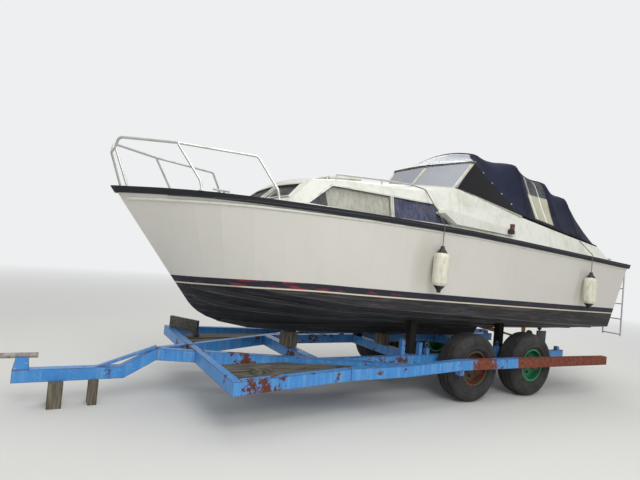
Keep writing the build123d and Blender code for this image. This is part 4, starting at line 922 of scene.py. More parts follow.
def cut_sheet(rows):
    """The sheet as a bmesh, cut by the outlines; material 1 marks the clear panels."""
    sheet = bmesh.new()
    wide = len(rows[0])
    verts = [[sheet.verts.new(point) for point in row] for row in rows]
    for a, b in zip(verts, verts[1:]):
        for k in range(wide - 1):
            sheet.faces.new((a[k], a[k + 1], b[k + 1], b[k]))
    for outline in (SCREEN_CUT, CLEAR_SIDE, CLEAR_ROOF):
        for (x0, z0), (x1, z1) in sides_of(outline):
            bmesh.ops.bisect_plane(sheet, geom=[*sheet.verts, *sheet.edges, *sheet.faces],
                                   dist=1e-5, plane_co=(x0, 0, z0), plane_no=(z1 - z0, 0, x0 - x1))
    gone = []
    for face in sheet.faces:
        centre = face.calc_center_median()
        if inside(SCREEN_CUT, centre.x, centre.z):
            gone.append(face)
        elif inside(CLEAR_ROOF, centre.x, centre.z) or (
                inside(CLEAR_SIDE, centre.x, centre.z) and abs(centre.y) > CLEAR_SIDE_FROM_Y):
            face.material_index = 1
    bmesh.ops.delete(sheet, geom=gone, context="FACES")
    bmesh.ops.recalc_face_normals(sheet, faces=list(sheet.faces))
    if sum(face.normal.z * face.calc_area() for face in sheet.faces) < 0:
        bmesh.ops.reverse_faces(sheet, faces=list(sheet.faces))
    return sheet


canopy_sheet = cut_sheet(grid)
print("canopy faces", len(canopy_sheet.faces))

# %% [markdown]
# Acrylic canopy cloth is a close weave that fades on top and gathers green and grey at its foot. The
# clear panels are soft sheet gone cloudy, with white creases where they were folded. The roof panel has
# turned milky. The lower half of the side panels is painted cream and less clear, a painted light for the
# lit inside seen through them. Threads are finer than a pixel, so two crossing waves give them as a bump,
# and the sheet's form carries the rest.

# %% Cloth and clear sheet
CLOTH_NAVY = srgb(20, 24, 44)
CLOTH_FADED = srgb(37, 44, 70)
# Below the second height the side panels are painted cream: painted light for the lit inside seen through
# them
MILDEW_BELOW, LIT_BEHIND_BELOW = 2.05, 2.090
ROOF_PANEL_FROM_X = -2.5
# The wave texture's scale counts turns of a circle
WEAVE_TURN = 6.28


def canvas(name, base, faded, weave_scale=900.0):
    """Woven cloth: fine crossing threads, fading, mildew low down."""
    material, tree, shader = new_material(name, Sheen_Weight=0.04, Sheen_Roughness=0.5,
                                          Specular_IOR_Level=0.22)
    coords = boat_coords(tree)
    clouds = noise(coords, 2.2, 6, 0.6)
    streaks = noise(stretched(coords, (7, 7, 1)), 2.2, 6)
    foot = ramp(minus(MILDEW_BELOW, axes(coords)[2]), (0.0, 0), (0.5, 0.45))
    colour = stained(clouds, 0.4, 0.75, 0.8, base, faded)
    colour = mixed(times(ramp(streaks, (0.45, 0), (0.7, 1)), foot), colour, srgb(74, 78, 74))
    threads, picks = (add_node(tree, "TexWave", {"Vector": coords, "Scale": weave_scale / WEAVE_TURN},
                               bands_direction=axis).outputs["Fac"] for axis in "XZ")
    weave = plus(threads, picks)
    height = plus(times(weave, 0.1), clouds)
    feed(shader, Base_Color=colour, Roughness=ramp(clouds, (0.3, 0.85), (0.8, 0.95)),
         Normal=bump(height, 0.25, 0.004))
    return material


def clear_sheet():
    """Cloudy soft sheet with white fold marks, and a painted cream lower half that stands for the lit inside
    behind it.
    """
    material, tree, shader = new_material("clear_sheet", IOR=1.45)
    coords = boat_coords(tree)
    haze = noise(coords, 4.0, 6)
    folds = add_node(tree, "TexWave", {"Vector": coords, "Scale": 1.4, "Distortion": 1.5, "Detail": 2.0},
                     bands_direction="X").outputs["Fac"]
    white = ramp(folds, (0.93, 0), (1.0, 0.8))
    along, _, height = axes(coords)
    roof = above(along, ROOF_PANEL_FROM_X)
    # Below that height the side panels are painted cream and less clear: painted light for the lit inside
    # behind
    low = ramp(minus(LIT_BEHIND_BELOW, height), (0.0, 0), (0.02, 1))
    milky_and_lit_behind = maths("MULTIPLY_ADD", roof, 0.40, times(low, 0.5))
    alpha = plus(ramp(haze, (0.3, 0.08), (0.8, 0.26)), milky_and_lit_behind)
    alpha = maths("MULTIPLY_ADD", white, 0.5, alpha)
    colour = mixed(low, mixed(roof, srgb(140, 146, 150), srgb(200, 205, 214)), srgb(208, 206, 180))
    feed(shader, Base_Color=mixed(white, colour, srgb(236, 238, 238)),
         Roughness=ramp(haze, (0.3, 0.12), (0.8, 0.35)), Alpha=alpha)
    return material


navy_canvas = canvas("navy_canvas", CLOTH_NAVY, CLOTH_FADED)
clear_vinyl = clear_sheet()


def sheet_piece(name, index, material, thickness):
    """The part of the cut sheet with one material index, as its own piece; also its flat area."""
    points, faces, places = [], [], {}
    for face in canopy_sheet.faces:
        if face.material_index != index:
            continue
        corners = []
        for vert in face.verts:
            if vert not in places:
                places[vert] = len(points)
                points.append(BOAT @ vert.co)
            corners.append(places[vert])
        faces.append(corners)
    area = sum(face.calc_area() for face in canopy_sheet.faces if face.material_index == index)
    return piece_from(name, points, faces, material, thickness=thickness), area


canopy_cloth, cloth_area = sheet_piece("canopy_cloth", 0, navy_canvas, 0.002)
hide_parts("canopy")
canopy_clear, clear_area = sheet_piece("canopy_clear", 1, clear_vinyl, 0.0012)
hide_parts("canopy_windows")
print("cloth", round(cloth_area, 2), "m2, clear", round(clear_area, 2), "m2")

# %% [markdown]
# Every raw edge of the sheet is bound. The boundary edges of the cut sheet are gathered and a thin piped
# binding follows each of them. The clear panels get a finer dark seam where they meet the cloth. Lines
# taken from the mesh itself can't miss its edge, as lines drawn beside it would.

# %% Bindings and seams
binding_tape = canvas("binding_tape", srgb(30, 30, 34), srgb(66, 62, 52))


def edge_lines(chosen):
    """Chains of boat-frame edges joined end to end, as lists of points in the shared frame."""
    left = set(chosen)
    at = {}
    for edge in chosen:
        for vert in edge.verts:
            at.setdefault(vert, []).append(edge)
    lines = []
    starts = [vert for vert in at if len(at[vert]) != 2] + list(at)
    for start in starts:
        vert, line = start, [start]
        while True:
            onward = [edge for edge in at[vert] if edge in left]
            if not onward:
                break
            left.discard(onward[0])
            vert = onward[0].other_vert(vert)
            line.append(vert)
            if vert is start or len(at[vert]) != 2:
                break
        if len(line) > 1:
            lines.append([BOAT @ v.co for v in line])
    return lines


HEM_RADIUS, SEAM_RADIUS = 0.006, 0.004
hem_lines = edge_lines([edge for edge in canopy_sheet.edges if len(edge.link_faces) == 1])
seam_lines = edge_lines([edge for edge in canopy_sheet.edges if len(edge.link_faces) == 2
                         and edge.link_faces[0].material_index != edge.link_faces[1].material_index])
canopy_hem = beads("canopy_hem", hem_lines, HEM_RADIUS, binding_tape, slot="canopy_cloth", spacing=0.015)
canopy_seams = beads("canopy_seams", seam_lines, SEAM_RADIUS, binding_tape, slot="canopy_cloth",
                     spacing=0.015)

# %% [markdown]
# Over each hoop the cloth is doubled and stitched into a pocket. Two raised lines of stitching say so
# from a distance, so only those are made, laid on the sheet's nearest points. Turn buttons, cream with
# age, hold the slanting front edge down, and a ray from outside finds the cloth under each.

# %% Hoop pockets, stitches and turn buttons
sheet_tree = BVHTree.FromBMesh(canopy_sheet)
POCKET_STEPS, POCKET_HALF, POCKET_REACH = 60, 0.022, 0.97
STITCH_RADIUS, STITCH_LIFT = 0.0022, 0.001
# A point of the sheet farther than this from the hoop's line isn't taken
FARTHEST = 0.08
BUTTON_GAP, BUTTON_LIFT = 0.180, 0.003
FRONT_EDGE = (Vector((-1.985, 0, 2.325)), Vector((-2.655, 0, 1.748)))
# How far a button stands inside the edge, aft and up, how far out its ray starts, and how near the
# middle of the boat it may land
BUTTON_AFT, BUTTON_UP, RAY_FROM_Y, BUTTON_BEYOND_Y = 0.022, 0.012, 1.4, 0.4


def on_sheet(x, u):
    """The sheet's point and outward way at a place along the boat and a share across it, or None."""
    for front, rear in zip(CANOPY_ROWS, CANOPY_ROWS[1:]):
        if front[0] >= x >= rear[0]:
            t = (front[0] - x) / (front[0] - rear[0])
            near = Vector((x, *between(section_point(front, u), section_point(rear, u), t)))
            point, normal, _, gap = sheet_tree.find_nearest(near)
            if point is None or gap > FARTHEST:
                return None
            return point, normal
    return None


pocket_lines = []
for row in CANOPY_ROWS[3:6]:
    for offset in (-POCKET_HALF, POCKET_HALF):
        found = (on_sheet(row[0] + offset, -POCKET_REACH + 2 * POCKET_REACH * k / POCKET_STEPS)
                 for k in range(POCKET_STEPS + 1))
        pocket_lines.append([BOAT @ (point + normal * STITCH_LIFT) for point, normal in filter(None, found)])
hoop_pockets = beads("hoop_pockets", pocket_lines, STITCH_RADIUS, navy_canvas, slot="canopy_cloth",
                     spacing=0.02)

button_places = []
edge_run = (FRONT_EDGE[1] - FRONT_EDGE[0]).length
for step in range(int(edge_run / BUTTON_GAP) + 1):
    place = FRONT_EDGE[0].lerp(FRONT_EDGE[1], step * BUTTON_GAP / edge_run)
    for side in (1, -1):
        start = Vector((place.x - BUTTON_AFT, side * RAY_FROM_Y, place.z + BUTTON_UP))
        point, normal, _, _ = sheet_tree.ray_cast(start, Vector((0, -side, 0)))
        if point is not None and abs(point.y) > BUTTON_BEYOND_Y:
            outward = normal if normal.y * side > 0 else -normal
            button_places.append((BOAT @ (point + outward * BUTTON_LIFT), BOAT.to_3x3() @ outward))
button_cream = gelcoat("button_cream", srgb(206, 198, 168), srgb(120, 112, 84), 0.7)
turn_buttons = fasteners("turn_buttons", button_places, 0.011, 0.007, button_cream, slot="canopy_cloth")
print("turn buttons", len(button_places))


# %% [markdown]
# Curtains hang gathered inside the four side windows: the long forward pair cream and water-stained, the
# short aft pair navy. Each is a sheet in uneven folds that follows the slope of the cabin side, and the
# forward pair is drawn only part of the way. They hang behind dusty glass, so two sine waves do for folds
# that a simulation would take minutes over.

# %% Curtains
# The cabin side's sections: x, foot y, shoulder y, shoulder z
CABIN_ROWS = ((0.600, 0.860, 0.835, 1.415), (0.285, 0.900, 0.705, 1.700), (-0.150, 0.930, 0.745, 1.752),
              (-1.000, 1.000, 0.815, 1.795), (-1.540, 1.072, 0.930, 1.898))
CABIN_FOOT = 1.330
WINDOW_OUTLINES = {
    "fore": ((0.372, 1.428), (0.070, 1.664), (-0.640, 1.664), (-0.612, 1.428)),
    "aft": ((-0.652, 1.428), (-0.680, 1.664), (-1.209, 1.660), (-1.392, 1.440)),
}
# How far forward each is drawn, its folds' length, and their depth at the drawn end and over the rest
CURTAIN_HANGS = {"fore": (0.140, 0.085, 0.010, 0.0025), "aft": (0.0, 0.060, 0.008, 0.007)}
CURTAIN_IN, GATHER_LENGTH = 0.0335, 0.090
ROOM = 0.010
FOLD_STEPS, CURTAIN_DROPS = 8, 10
DAMP_FROM_Z = 1.50


def cabin_side(x, z):
    """Half width of the cabin's outside at a place."""
    for front, rear in zip(CABIN_ROWS, CABIN_ROWS[1:]):
        if front[0] >= x >= rear[0]:
            t = (front[0] - x) / (front[0] - rear[0])
            foot, shoulder, top = between(front[1:], rear[1:], t)
            return foot + (shoulder - foot) * (z - CABIN_FOOT) / (top - CABIN_FOOT)


def curtain(name, place, side, material):
    """One curtain behind a window, gathered towards the end that it is drawn from."""
    (fx0, z0), (fx1, z1), (rx1, _), (rx0, _) = WINDOW_OUTLINES[place]
    drawn_to, fold, deep, shallow = CURTAIN_HANGS[place]
    z0, z1 = z0 - ROOM, z1 + ROOM
    across = int((min(fx0 + ROOM, drawn_to) - rx0) / fold * FOLD_STEPS)
    points, faces = [], []
    for j in range(CURTAIN_DROPS + 1):
        v = j / CURTAIN_DROPS
        z = z0 + (z1 - z0) * v
        front = min(fx0 + (fx1 - fx0) * v + ROOM, drawn_to)
        rear = rx0 + (rx1 - rx0) * v - ROOM
        for i in range(across + 1):
            run = (front - rear) * i / across
            depth = shallow + (deep - shallow) * math.exp(-run / GATHER_LENGTH)
            turns, x = run / fold, front - run
            # Two waves of unlike length keep the folds uneven
            swing = (0.6 * math.sin(turns * math.tau + 0.4 * math.sin(v * 3))
                     + 0.4 * math.sin(turns * 3.9 + 1))
            half = cabin_side(x, z) - CURTAIN_IN - depth * swing * (1 - 0.4 * v)
            points.append(on_boat(x, side * half, z))
    for j in range(CURTAIN_DROPS):
        for i in range(across):
            a = j * (across + 1) + i
            faces.append((a, a + 1, a + across + 2, a + across + 1)[::side])
    piece = piece_from(name, points, faces, material, thickness=0.0008)
    return piece


def curtain_cloth(name, base, pale, stain):
    """Thin cloth: bands that hang with the folds, damp stains along the top."""
    material, tree, shader = new_material(name, Roughness=0.9)
    coords = boat_coords(tree)
    bands = noise(stretched(coords, (16, 16, 0.4)), 2.2, 4)
    damp = noise(stretched(coords, (9, 9, 3)), 2.0, 7, 0.65)
    high = ramp(minus(axes(coords)[2], DAMP_FROM_Z), (0.0, 0), (0.16, 0.22))
    colour = stained(bands, 0.46, 0.62, 1, base, pale)
    colour = stained(plus(damp, high), 0.62, 0.90, 0.6, colour, stain)
    feed(shader, Base_Color=colour)
    return material


cream_curtain = curtain_cloth("cream_curtain", srgb(206, 206, 190), srgb(194, 190, 166), srgb(146, 142, 112))
navy_curtain = curtain_cloth("navy_curtain", srgb(28, 36, 74), srgb(60, 76, 116), srgb(46, 58, 92))
CURTAIN_CLOTH = {"fore": cream_curtain, "aft": navy_curtain}
curtains = [curtain(f"curtain_{place}_{side_name}", place, side, CURTAIN_CLOTH[place])
            for place in WINDOW_OUTLINES for side_name, side in SIDES]
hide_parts("curtains")
print("curtains", len(curtains))

# %% [markdown]
# Cockpit cushions are foam in woven covers. Each starts as a plain block a little smaller than its place,
# is remeshed fine, and is blown up by a cloth simulation with a little pressure, which crowns its faces
# and draws its edges in as a bevel never does. A piped seam then runs round it.

# %% Cushions
# Each: centre x, centre y, bottom z, length, width, height, in the boat's own frame
PADS = {
    "helm_seat_pad": (-2.480, -0.5925, 0.960, 0.480, 0.485, 0.090),
    "helm_back_pad": (-2.675, -0.5925, 1.050, 0.090, 0.485, 0.470),
    "mate_seat_pad": (-2.480, 0.5925, 0.960, 0.480, 0.485, 0.090),
    "mate_back_pad": (-2.675, 0.5925, 1.050, 0.090, 0.485, 0.470),
    "bench_seat_pad": (-4.131, 0.0, 0.960, 0.460, 1.670, 0.090),
    "bench_back_pad": (-4.316, 0.0, 1.050, 0.090, 1.670, 0.470),
}
PAD_SHRINK, VOXEL, PIPING_STEPS = 0.007, 0.014, 96
# The swelling: its frames, the pressure, and the most that a point may move
SWELL_FRAMES, PRESSURE, SWELL_CAP = 20, 4.0, 0.010
cushion_weave = canvas("cushion_weave", srgb(52, 70, 108), srgb(92, 108, 140), 500.0)


def puffed(name, centre, size):
    """A padded piece: a block, remeshed, swollen by cloth with pressure, capped and smoothed."""
    block = bmesh.new()
    bmesh.ops.create_cube(block, size=1.0)
    for vert in block.verts:
        vert.co = BOAT @ Vector(c + v * s for c, v, s in zip(centre, vert.co, size))
    mesh = bpy.data.meshes.new(name)
    block.to_mesh(mesh)
    block.free()
    mesh.materials.append(cushion_weave)
    piece = link(bpy.data.objects.new(name, mesh))
    remesh = piece.modifiers.new("remesh", "REMESH")
    remesh.mode = "VOXEL"
    remesh.voxel_size = VOXEL
    fine = bpy.data.meshes.new_from_object(piece.evaluated_get(bpy.context.evaluated_depsgraph_get()))
    piece.modifiers.clear()
    piece.data = fine
    fine.name = name
    start = [vert.co.copy() for vert in fine.vertices]
    cloth = piece.modifiers.new("swell", "CLOTH")
    cloth.settings.use_pressure = True
    cloth.settings.uniform_pressure_force = PRESSURE
    cloth.settings.effector_weights.gravity = 0.0
    cloth.point_cache.frame_start = 1
    cloth.point_cache.frame_end = SWELL_FRAMES
    for step in range(1, SWELL_FRAMES + 1):
        bpy.context.scene.frame_set(step)
    swollen = piece.evaluated_get(bpy.context.evaluated_depsgraph_get()).to_mesh()
    for vert, before, after in zip(fine.vertices, start, swollen.vertices):
        move = after.co - before
        if move.length > SWELL_CAP:
            move *= SWELL_CAP / move.length
        vert.co = before + move
    piece.modifiers.clear()
    bpy.context.scene.frame_set(1)
    fine.shade_smooth()
    finer = piece.modifiers.new("finer", "SUBSURF")
    finer.levels = finer.render_levels = 1
    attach(piece, "craft")
    return piece


def piping(piece, centre, size):
    """The seam's path round the middle of a pad, found on its surface."""
    tree = BVHTree.FromPolygons([BOAT.inverted() @ v.co for v in piece.data.vertices],
                                [tuple(p.vertices) for p in piece.data.polygons])
    thin = min(range(3), key=lambda axis: size[axis])
    first, second = [axis for axis in range(3) if axis != thin]
    path = []
    for step in range(PIPING_STEPS):
        angle = step / PIPING_STEPS * math.tau
        way = Vector((0, 0, 0))
        way[first], way[second] = math.cos(angle) * size[first], math.sin(angle) * size[second]
        point = tree.ray_cast(Vector(centre) + way * 2, -way.normalized())[0]
        if point is not None:
            path.append(BOAT @ point)
    return path + path[:1]


pads, pipings = [], []
for name, (x, y, low, length, width, height) in PADS.items():
    size = (length - 2 * PAD_SHRINK, width - 2 * PAD_SHRINK, height - 2 * PAD_SHRINK)
    centre = (x, y, low + height / 2)
    pads.append(puffed(name, centre, size))
    pipings.append(piping(pads[-1], centre, size))
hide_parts("cushions")
beads("cushion_piping", pipings, 0.004, binding_tape, slot="cushion", spacing=0.012)
print("pads", len(pads))

# %% [markdown]
# The tyres are ribbed implement tyres: three grooves round the tread, a stepped shoulder and rings on the
# side walls. A detailed outline turned round the axle gives all of that as real geometry. The wheel nuts
# are heads from the fastener tree, six on a circle.

# %% Tyres and wheel nuts
TYRE_RADIUS = 0.412
WHEELS = {"front": -0.965, "rear": -2.053}
WHEEL_Y = 0.884
# Outline from one bead over the tread to the other: radius and offset from the wheel's middle
HALF_TYRE = ((0.2015, 0.1125), (0.2140, 0.1135), (0.2200, 0.1240), (0.2330, 0.1400), (0.2560, 0.1490),
             (0.2680, 0.1498), (0.2700, 0.1478), (0.2780, 0.1478), (0.2800, 0.1498), (0.3160, 0.1495),
             (0.3180, 0.1470), (0.3260, 0.1462), (0.3280, 0.1488), (0.3500, 0.1440), (0.3720, 0.1330),
             (0.3860, 0.1230), (0.3940, 0.1130), (0.4010, 0.1020), (0.4050, 0.0880), (0.4062, 0.0720),
             (0.3960, 0.0690), (0.3950, 0.0560), (0.4090, 0.0530), (0.4112, 0.0250), (0.4116, 0.0080),
             (0.3990, 0.0060))
TYRE_STEPS = 96
TYRE_CREASE = math.radians(50)
# The nuts' circle, their count, and how far out from the wheel's middle they stand
NUT_CIRCLE, NUT_COUNT, NUT_OUT = 0.108, 6, 0.046
NUT_RADIUS, NUT_HEIGHT = 0.016, 0.018


def tyre_rubber():
    """Grey, dusty rubber with fine pale specks and a fine bump."""
    material, tree, shader = new_material("tyre_rubber")
    coords = object_coords(tree)
    dust = noise(coords, 6.0, 7, 0.65)
    fine = noise(coords, 60.0, 4)
    colour = stained(dust, 0.35, 0.7, 1, srgb(30, 30, 32), srgb(64, 63, 62))
    colour = stained(fine, 0.55, 0.7, 0.25, colour, srgb(112, 106, 96))
    feed(shader, Base_Color=colour, Roughness=ramp(dust, (0.3, 0.78), (0.8, 0.95)),
         Normal=bump(fine, 0.3, 0.001))
    return material


rubber = tyre_rubber()


def make_tyre(row, side_name, side):
    """One tyre turned from the profile about its axle."""
    outline = list(HALF_TYRE) + [(radius, -offset) for radius, offset in HALF_TYRE[::-1]]
    centre = Vector((WHEELS[row], side * WHEEL_Y, TYRE_RADIUS))
    count = len(outline)
    points, faces = [], []
    for step in range(TYRE_STEPS):
        angle = step / TYRE_STEPS * math.tau
        for radius, offset in outline:
            points.append(centre + Vector((radius * math.cos(angle), offset, radius * math.sin(angle))))
        following = (step + 1) % TYRE_STEPS
        for k in range(count):
            after = (k + 1) % count
            faces.append((step * count + k, step * count + after, following * count + after,
                          following * count + k)[::-1])
    tyre = piece_from(f"ribbed_tyre_{row}_{side_name}", points, faces, rubber,
                      f"wheel_{row}_{side_name}")
    made = bmesh.new()
    made.from_mesh(tyre.data)
    bmesh.ops.recalc_face_normals(made, faces=list(made.faces))
    if made.calc_volume(signed=True) < 0:
        bmesh.ops.reverse_faces(made, faces=list(made.faces))
    made.to_mesh(tyre.data)
    made.free()
    tyre.data.set_sharp_from_angle(angle=TYRE_CREASE)
    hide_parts(f"tyre_{row}_{side_name}")


nut_rust = rusty("nut_rust", RUST_DARK, srgb(110, 72, 50), 60.0)
for row, x in WHEELS.items():
    for side_name, side in SIDES:
        make_tyre(row, side_name, side)
        places = []
        for k in range(NUT_COUNT):
            angle = (k + 0.5) / NUT_COUNT * math.tau
            spot = Vector((x + NUT_CIRCLE * math.cos(angle), side * (WHEEL_Y + NUT_OUT),
                           TYRE_RADIUS + NUT_CIRCLE * math.sin(angle)))
            places.append((spot, (0, side, 0)))
        fasteners(f"wheel_nuts_{row}_{side_name}", places, NUT_RADIUS, NUT_HEIGHT, nut_rust,
                  f"wheel_{row}_{side_name}", "rim", 6)
print("wheels dressed")

# %% [markdown]
# A vinyl insert runs along the middle of the strake, with a moulded lip below it. A sill lies under each
# quarter of the windscreen, and small screws hold the window frames. The places of the insert, the lip and
# the screws are found on the solids: a ray is cast at the boat's side from outside, and each lands there.

# %% Strake, sills and screws


def solid_tree(*names):
    """A search tree over CAD nodes, in the shared frame."""
    points, faces = [], []
    for name in names:
        mesh = nodes[name].data
        first = len(points)
        points.extend(vert.co.copy() for vert in mesh.vertices)
        faces.extend(tuple(first + k for k in polygon.vertices) for polygon in mesh.polygons)
    return BVHTree.FromPolygons(points, faces)


LANDED_LIFT, RAY_LENGTH = 0.0005, 3.0


def landed(tree, start, way):
    """Where a ray from the boat's frame lands, and the way out of the surface there, or None."""
    start, way = on_boat(*start), BOAT.to_3x3() @ Vector(way)
    point, normal, _, _ = tree.ray_cast(start, way, RAY_LENGTH)
    if point is None:
        return None
    if normal.dot(way) > 0:
        normal = -normal
    return point + normal * LANDED_LIFT, normal


CROWN_LINE = ((-5.500, 1.350), (-3.300, 1.403), (-1.600, 1.440), (-0.200, 1.437), (0.900, 1.420),
              (1.700, 1.391), (2.400, 1.352))
STRAKE_DROP, STRAKE_CAMBER = 0.031, 0.036


def strake_height(x):
    """Height of the middle of the strake."""
    for (x0, z0), (x1, z1) in zip(CROWN_LINE, CROWN_LINE[1:]):
        if x0 <= x <= x1:
            return z0 + (z1 - z0) * (x - x0) / (x1 - x0) - STRAKE_DROP - STRAKE_CAMBER


LIP_DROP, LIP_RADIUS, INSERT_RADIUS = 0.044, 0.016, 0.007
SILL, SILL_RADIUS = ((-1.600, 0.893, 1.906), (-2.140, 0.947, 1.812), (-2.670, 1.000, 1.719)), 0.011
STRAKE_FROM_X, STRAKE_STEP, STRAKE_POINTS = -5.04, 0.05, 141


def side_line(solid, drop, side):
    """Points along one side of a solid, level with the strake or below it."""
    line = []
    for step in range(STRAKE_POINTS):
        x = STRAKE_FROM_X + step * STRAKE_STEP
        found = landed(solid, (x, side * 2.0, strake_height(x) - drop), (0, -side, 0))
        if found and found[0].y * side > 0:
            line.append(found[0])
    return line


strake_solid, hull_solid = solid_tree("rubbing_strake"), solid_tree("hull")
insert_lines = [side_line(strake_solid, 0.0, side) for side in (1, -1)]
lip_lines = [side_line(hull_solid, LIP_DROP, side) for side in (1, -1)]
insert_vinyl = dull_black("insert_vinyl", srgb(28, 30, 40), srgb(62, 64, 76), 3.0, 0.5)
beads("strake_insert", insert_lines, INSERT_RADIUS, insert_vinyl, slot="strake", spacing=0.04)
beads("sheer_lip", lip_lines, LIP_RADIUS, cabin_gel, slot="hull_paint", spacing=0.04)

anodised = bpy.data.materials["anodised"]
sills = [[on_boat(x, side * y, z) for x, y, z in SILL] for side in (1, -1)]
beads("screen_sills", sills, SILL_RADIUS, anodised, slot="screen_frame", spacing=0.05)

SCREW_OUT, SCREW_GAP, SCREW_BEYOND_Y = 0.008, 0.12, 0.6
trim_solid = solid_tree("window_trims")


def trim_screw(x, z, out, side):
    """A screw's place on a window frame, just outside an outline or else just inside it."""
    for sign in (1, -1):
        found = landed(trim_solid, (x + sign * out[0], side * 1.6, z + sign * out[1]), (0, -side, 0))
        if found and abs(found[0].y) > SCREW_BEYOND_Y:
            return found
    return None


trim_screws = []
for outline in WINDOW_OUTLINES.values():
    for (x0, z0), (x1, z1) in sides_of(outline):
        run = math.hypot(x1 - x0, z1 - z0)
        out = ((z1 - z0) / run * SCREW_OUT, (x0 - x1) / run * SCREW_OUT)
        count = max(2, int(run / SCREW_GAP))
        for k in range(count):
            x, z = between((x0, z0), (x1, z1), (k + 0.5) / count)
            trim_screws += filter(None, (trim_screw(x, z, out, side) for side in (1, -1)))
fasteners("window_screws", trim_screws, 0.0035, 0.0018, stainless, slot="window_trim")
print("window screws", len(trim_screws))

# %% [markdown]
# Each side lamp carries a tall lens on its dark foot. The lens is a turned outline, kept as radii and
# heights so that its ribs can be read: a stepped base, a ribbed wall and a low dome.

# %% Lamp lenses
LENS_PLACE = (-2.334, 1.137, 1.4965)
LENS_OUTLINE = ((0.026, 0.0), (0.026, 0.008), (0.030, 0.010), (0.030, 0.014), (0.0285, 0.017),
                (0.0285, 0.027), (0.030, 0.030), (0.0285, 0.033), (0.0285, 0.043), (0.030, 0.046),
                (0.0285, 0.049), (0.0285, 0.060), (0.031, 0.063), (0.031, 0.070), (0.024, 0.077),
                (0.010, 0.080), (0.0, 0.0805))
LENS_STEPS = 32
for side_name, side in SIDES:
    points, faces = [], []
    for step in range(LENS_STEPS):
        angle = step / LENS_STEPS * math.tau
        for radius, height in LENS_OUTLINE:
            points.append(on_boat(LENS_PLACE[0] + radius * math.cos(angle),
                                  side * LENS_PLACE[1] + radius * math.sin(angle), LENS_PLACE[2] + height))
        for k in range(len(LENS_OUTLINE) - 1):
            this, following = step * len(LENS_OUTLINE) + k, (step + 1) % LENS_STEPS * len(LENS_OUTLINE) + k
            faces.append((this, following, following + 1, this + 1))
    lens = piece_from(f"lamp_lens_{side_name}", points, faces, lens_plastic)
    lens.data.validate()
print("lenses on")

# %% [markdown]
# The pulpit's legs end in round welded feet, each with screws. Deck fittings like these are tiny, but
# bare tube running straight into a deck looks like a drawing.

# %% Feet of the pulpit
deck_solid = solid_tree("deck", "rubbing_strake")
FEET = ((0.705, 0.868), (1.405, 0.655), (2.000, 0.215))
FOOT_IN, FOOT_RADIUS, FOOT_LIFT = 0.012, 0.032, 0.001
# A foot's screws: their circle, their count, the first one's angle, and their height
SCREW_CIRCLE, SCREW_COUNT, SCREW_TURN, SCREW_LIFT = 0.024, 3, 0.4, 0.0045
foot_places, foot_screws = [], []
for x, y in FEET:
    for side in (1, -1):
        found = landed(deck_solid, (x, side * (y - FOOT_IN), 1.8), (0, 0, -1))
        if found:
            foot_places.append((found[0] + found[1] * FOOT_LIFT, found[1]))
            for k in range(SCREW_COUNT):
                angle = k / SCREW_COUNT * math.tau + SCREW_TURN
                outward = Vector((math.cos(angle), math.sin(angle), 0)) * SCREW_CIRCLE
                foot_screws.append((found[0] + outward + found[1] * SCREW_LIFT, found[1]))
fasteners("pulpit_feet", foot_places, FOOT_RADIUS, 0.008, stainless, sides=24)
fasteners("pulpit_foot_screws", foot_screws, 0.0035, 0.002, stainless)
print("pulpit feet", len(foot_places))

# %% [markdown]
# The trailer is welded from box section. A bead of weld, lumpy and rusty, runs up and over each joint. The
# tree for beads makes it from the joint's corners, and its noise gives the ripples that a welder leaves.

# %% Welds on the frame
FRAME_TOP, FRAME_LOW = 0.518, 0.400
# The inner beams meet the crossbeams here: along the trailer, and how far the top weld runs from there
INNER_JOINTS = ((-2.500, -0.080), (-2.580, 0.080), (-4.100, -0.080), (-4.180, 0.080))
INNER_Y = 0.630
weld_steel = rusty("weld_steel", RUST_DARK, srgb(128, 84, 62), 50.0)


def upright(x, y):
    """A weld up one corner of the frame, from its underside to its top."""
    return [(TRAILER_X + x, y, FRAME_LOW + 0.004), (TRAILER_X + x, y, FRAME_TOP)]


def across(x0, y0, x1, y1):
    """A weld along the frame's top."""
    return [(TRAILER_X + x0, y0, FRAME_TOP), (TRAILER_X + x1, y1, FRAME_TOP)]


weld_paths = []
for side in (1, -1):
    weld_paths += [upright(-0.080, side * 1.252), across(-0.080, side * 1.252, -0.080, side * 1.331),
                   upright(-1.300, side * 1.140), across(-1.300, side * 1.060, -1.300, side * 1.140),
                   upright(-1.300, side * 1.060)]
    for x, run in INNER_JOINTS:
        weld_paths += [upright(x, side * INNER_Y), across(x, side * INNER_Y, x + run, side * INNER_Y)]
    weld_paths += [upright(0.0, side * 0.202), across(0.0, side * 0.115, 0.0, side * 0.202)]
    weld_paths += [upright(-0.080, side * 0.237), across(-0.080, side * 0.150, -0.080, side * 0.237)]
weld_paths.append(across(0.355, -0.050, 0.355, 0.050))
WELD_RADIUS, WELD_LUMPS = 0.0045, 0.004
beads("frame_welds", weld_paths, WELD_RADIUS, weld_steel, slot="frame_paint", spacing=0.006,
      roughness=WELD_LUMPS)
print("welds", len(weld_paths))

# %% [markdown]
# The stage is a pale floor under an overcast sky: one broad lamp as the brightest part of the cloud, two
# weaker ones against hard shadows. The camera, glossy and see-through rays find a near-white world, and
# for the camera alone the floor fades into it with distance.

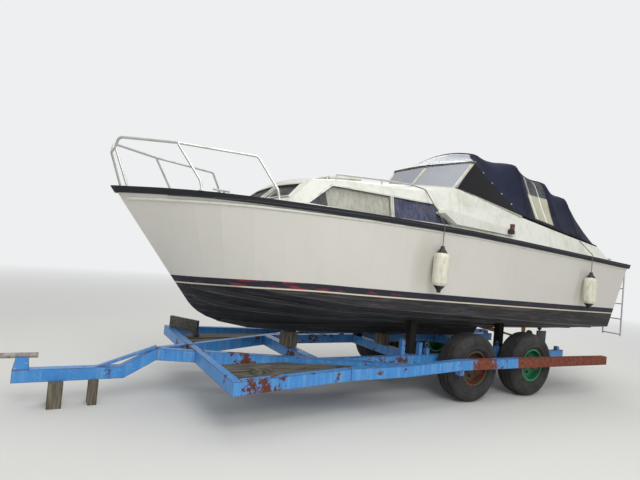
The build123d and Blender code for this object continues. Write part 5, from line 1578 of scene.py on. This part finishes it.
# %% Stage and light
FLOOR_HALF = 40.0
HORIZON = (*srgb(238, 239, 240), 1)
SKY, SKY_STRENGTH = (*srgb(226, 228, 231), 1), 0.62
floor_mesh = bpy.data.meshes.new("floor")
floor_mesh.from_pydata([(-FLOOR_HALF, -FLOOR_HALF, 0), (FLOOR_HALF, -FLOOR_HALF, 0),
                        (FLOOR_HALF, FLOOR_HALF, 0), (-FLOOR_HALF, FLOOR_HALF, 0)], [], [(0, 1, 2, 3)])
floor = link(bpy.data.objects.new("floor", floor_mesh))
floor_paint, tree, shader = new_material("floor", Base_Color=(*srgb(222, 221, 216), 1), Roughness=0.9)
away = add_node(tree, "VectorMath", {0: object_coords(tree)}, operation="LENGTH").outputs["Value"]
far = ramp(over(away, FLOOR_HALF), (0.16, 0), (0.50, 1))
fade = times(far, add_node(tree, "LightPath").outputs["Is Camera Ray"])
haze = add_node(tree, "Emission", {"Color": HORIZON, "Strength": 1.0}).outputs[0]
veiled = add_node(tree, "MixShader", {0: fade, 1: shader.outputs[0], 2: haze}).outputs[0]
tree.links.new(veiled, tree.nodes["Material Output"].inputs["Surface"])
floor_mesh.materials.append(floor_paint)

world = bpy.data.worlds.new("world")
bpy.context.scene.world = world
world.use_nodes = True
tree = world.node_tree
lit = tree.nodes["Background"]
lit.inputs["Color"].default_value = SKY
lit.inputs["Strength"].default_value = SKY_STRENGTH
seen = add_node(tree, "Background", {"Color": HORIZON, "Strength": 1.0})
rays = add_node(tree, "LightPath").outputs
looks = largest(rays["Is Camera Ray"], largest(rays["Is Glossy Ray"], rays["Is Transmission Ray"]))
sky = add_node(tree, "MixShader", {0: looks, 1: lit.outputs[0], 2: seen.outputs[0]}).outputs[0]
tree.links.new(sky, tree.nodes["World Output"].inputs["Surface"])


# Each lamp: its name, its place, what it looks at, its size and its power
LAMPS = (("key", (3, 9, 8), (0, 0, 1.2), 6.0, 560), ("fill", (-7, -8, 7), (0, 0, 1.2), 8.0, 330),
         ("top", (0, 1, 10), (0, 0, 0), 9.0, 330))
for name, place, target, size, power in LAMPS:
    lamp = bpy.data.lights.new(name, "AREA")
    lamp.size, lamp.energy = size, power
    thing = link(bpy.data.objects.new(name, lamp))
    thing.location = place
    thing.rotation_euler = (Vector(target) - Vector(place)).to_track_quat("-Z", "Y").to_euler()
print("lamps", len(LAMPS))
bpy.context.scene.view_settings.view_transform = "Standard"

# %% [markdown]
# At the end the view layer is brought up to date.

# %% The end
bpy.context.view_layer.update()
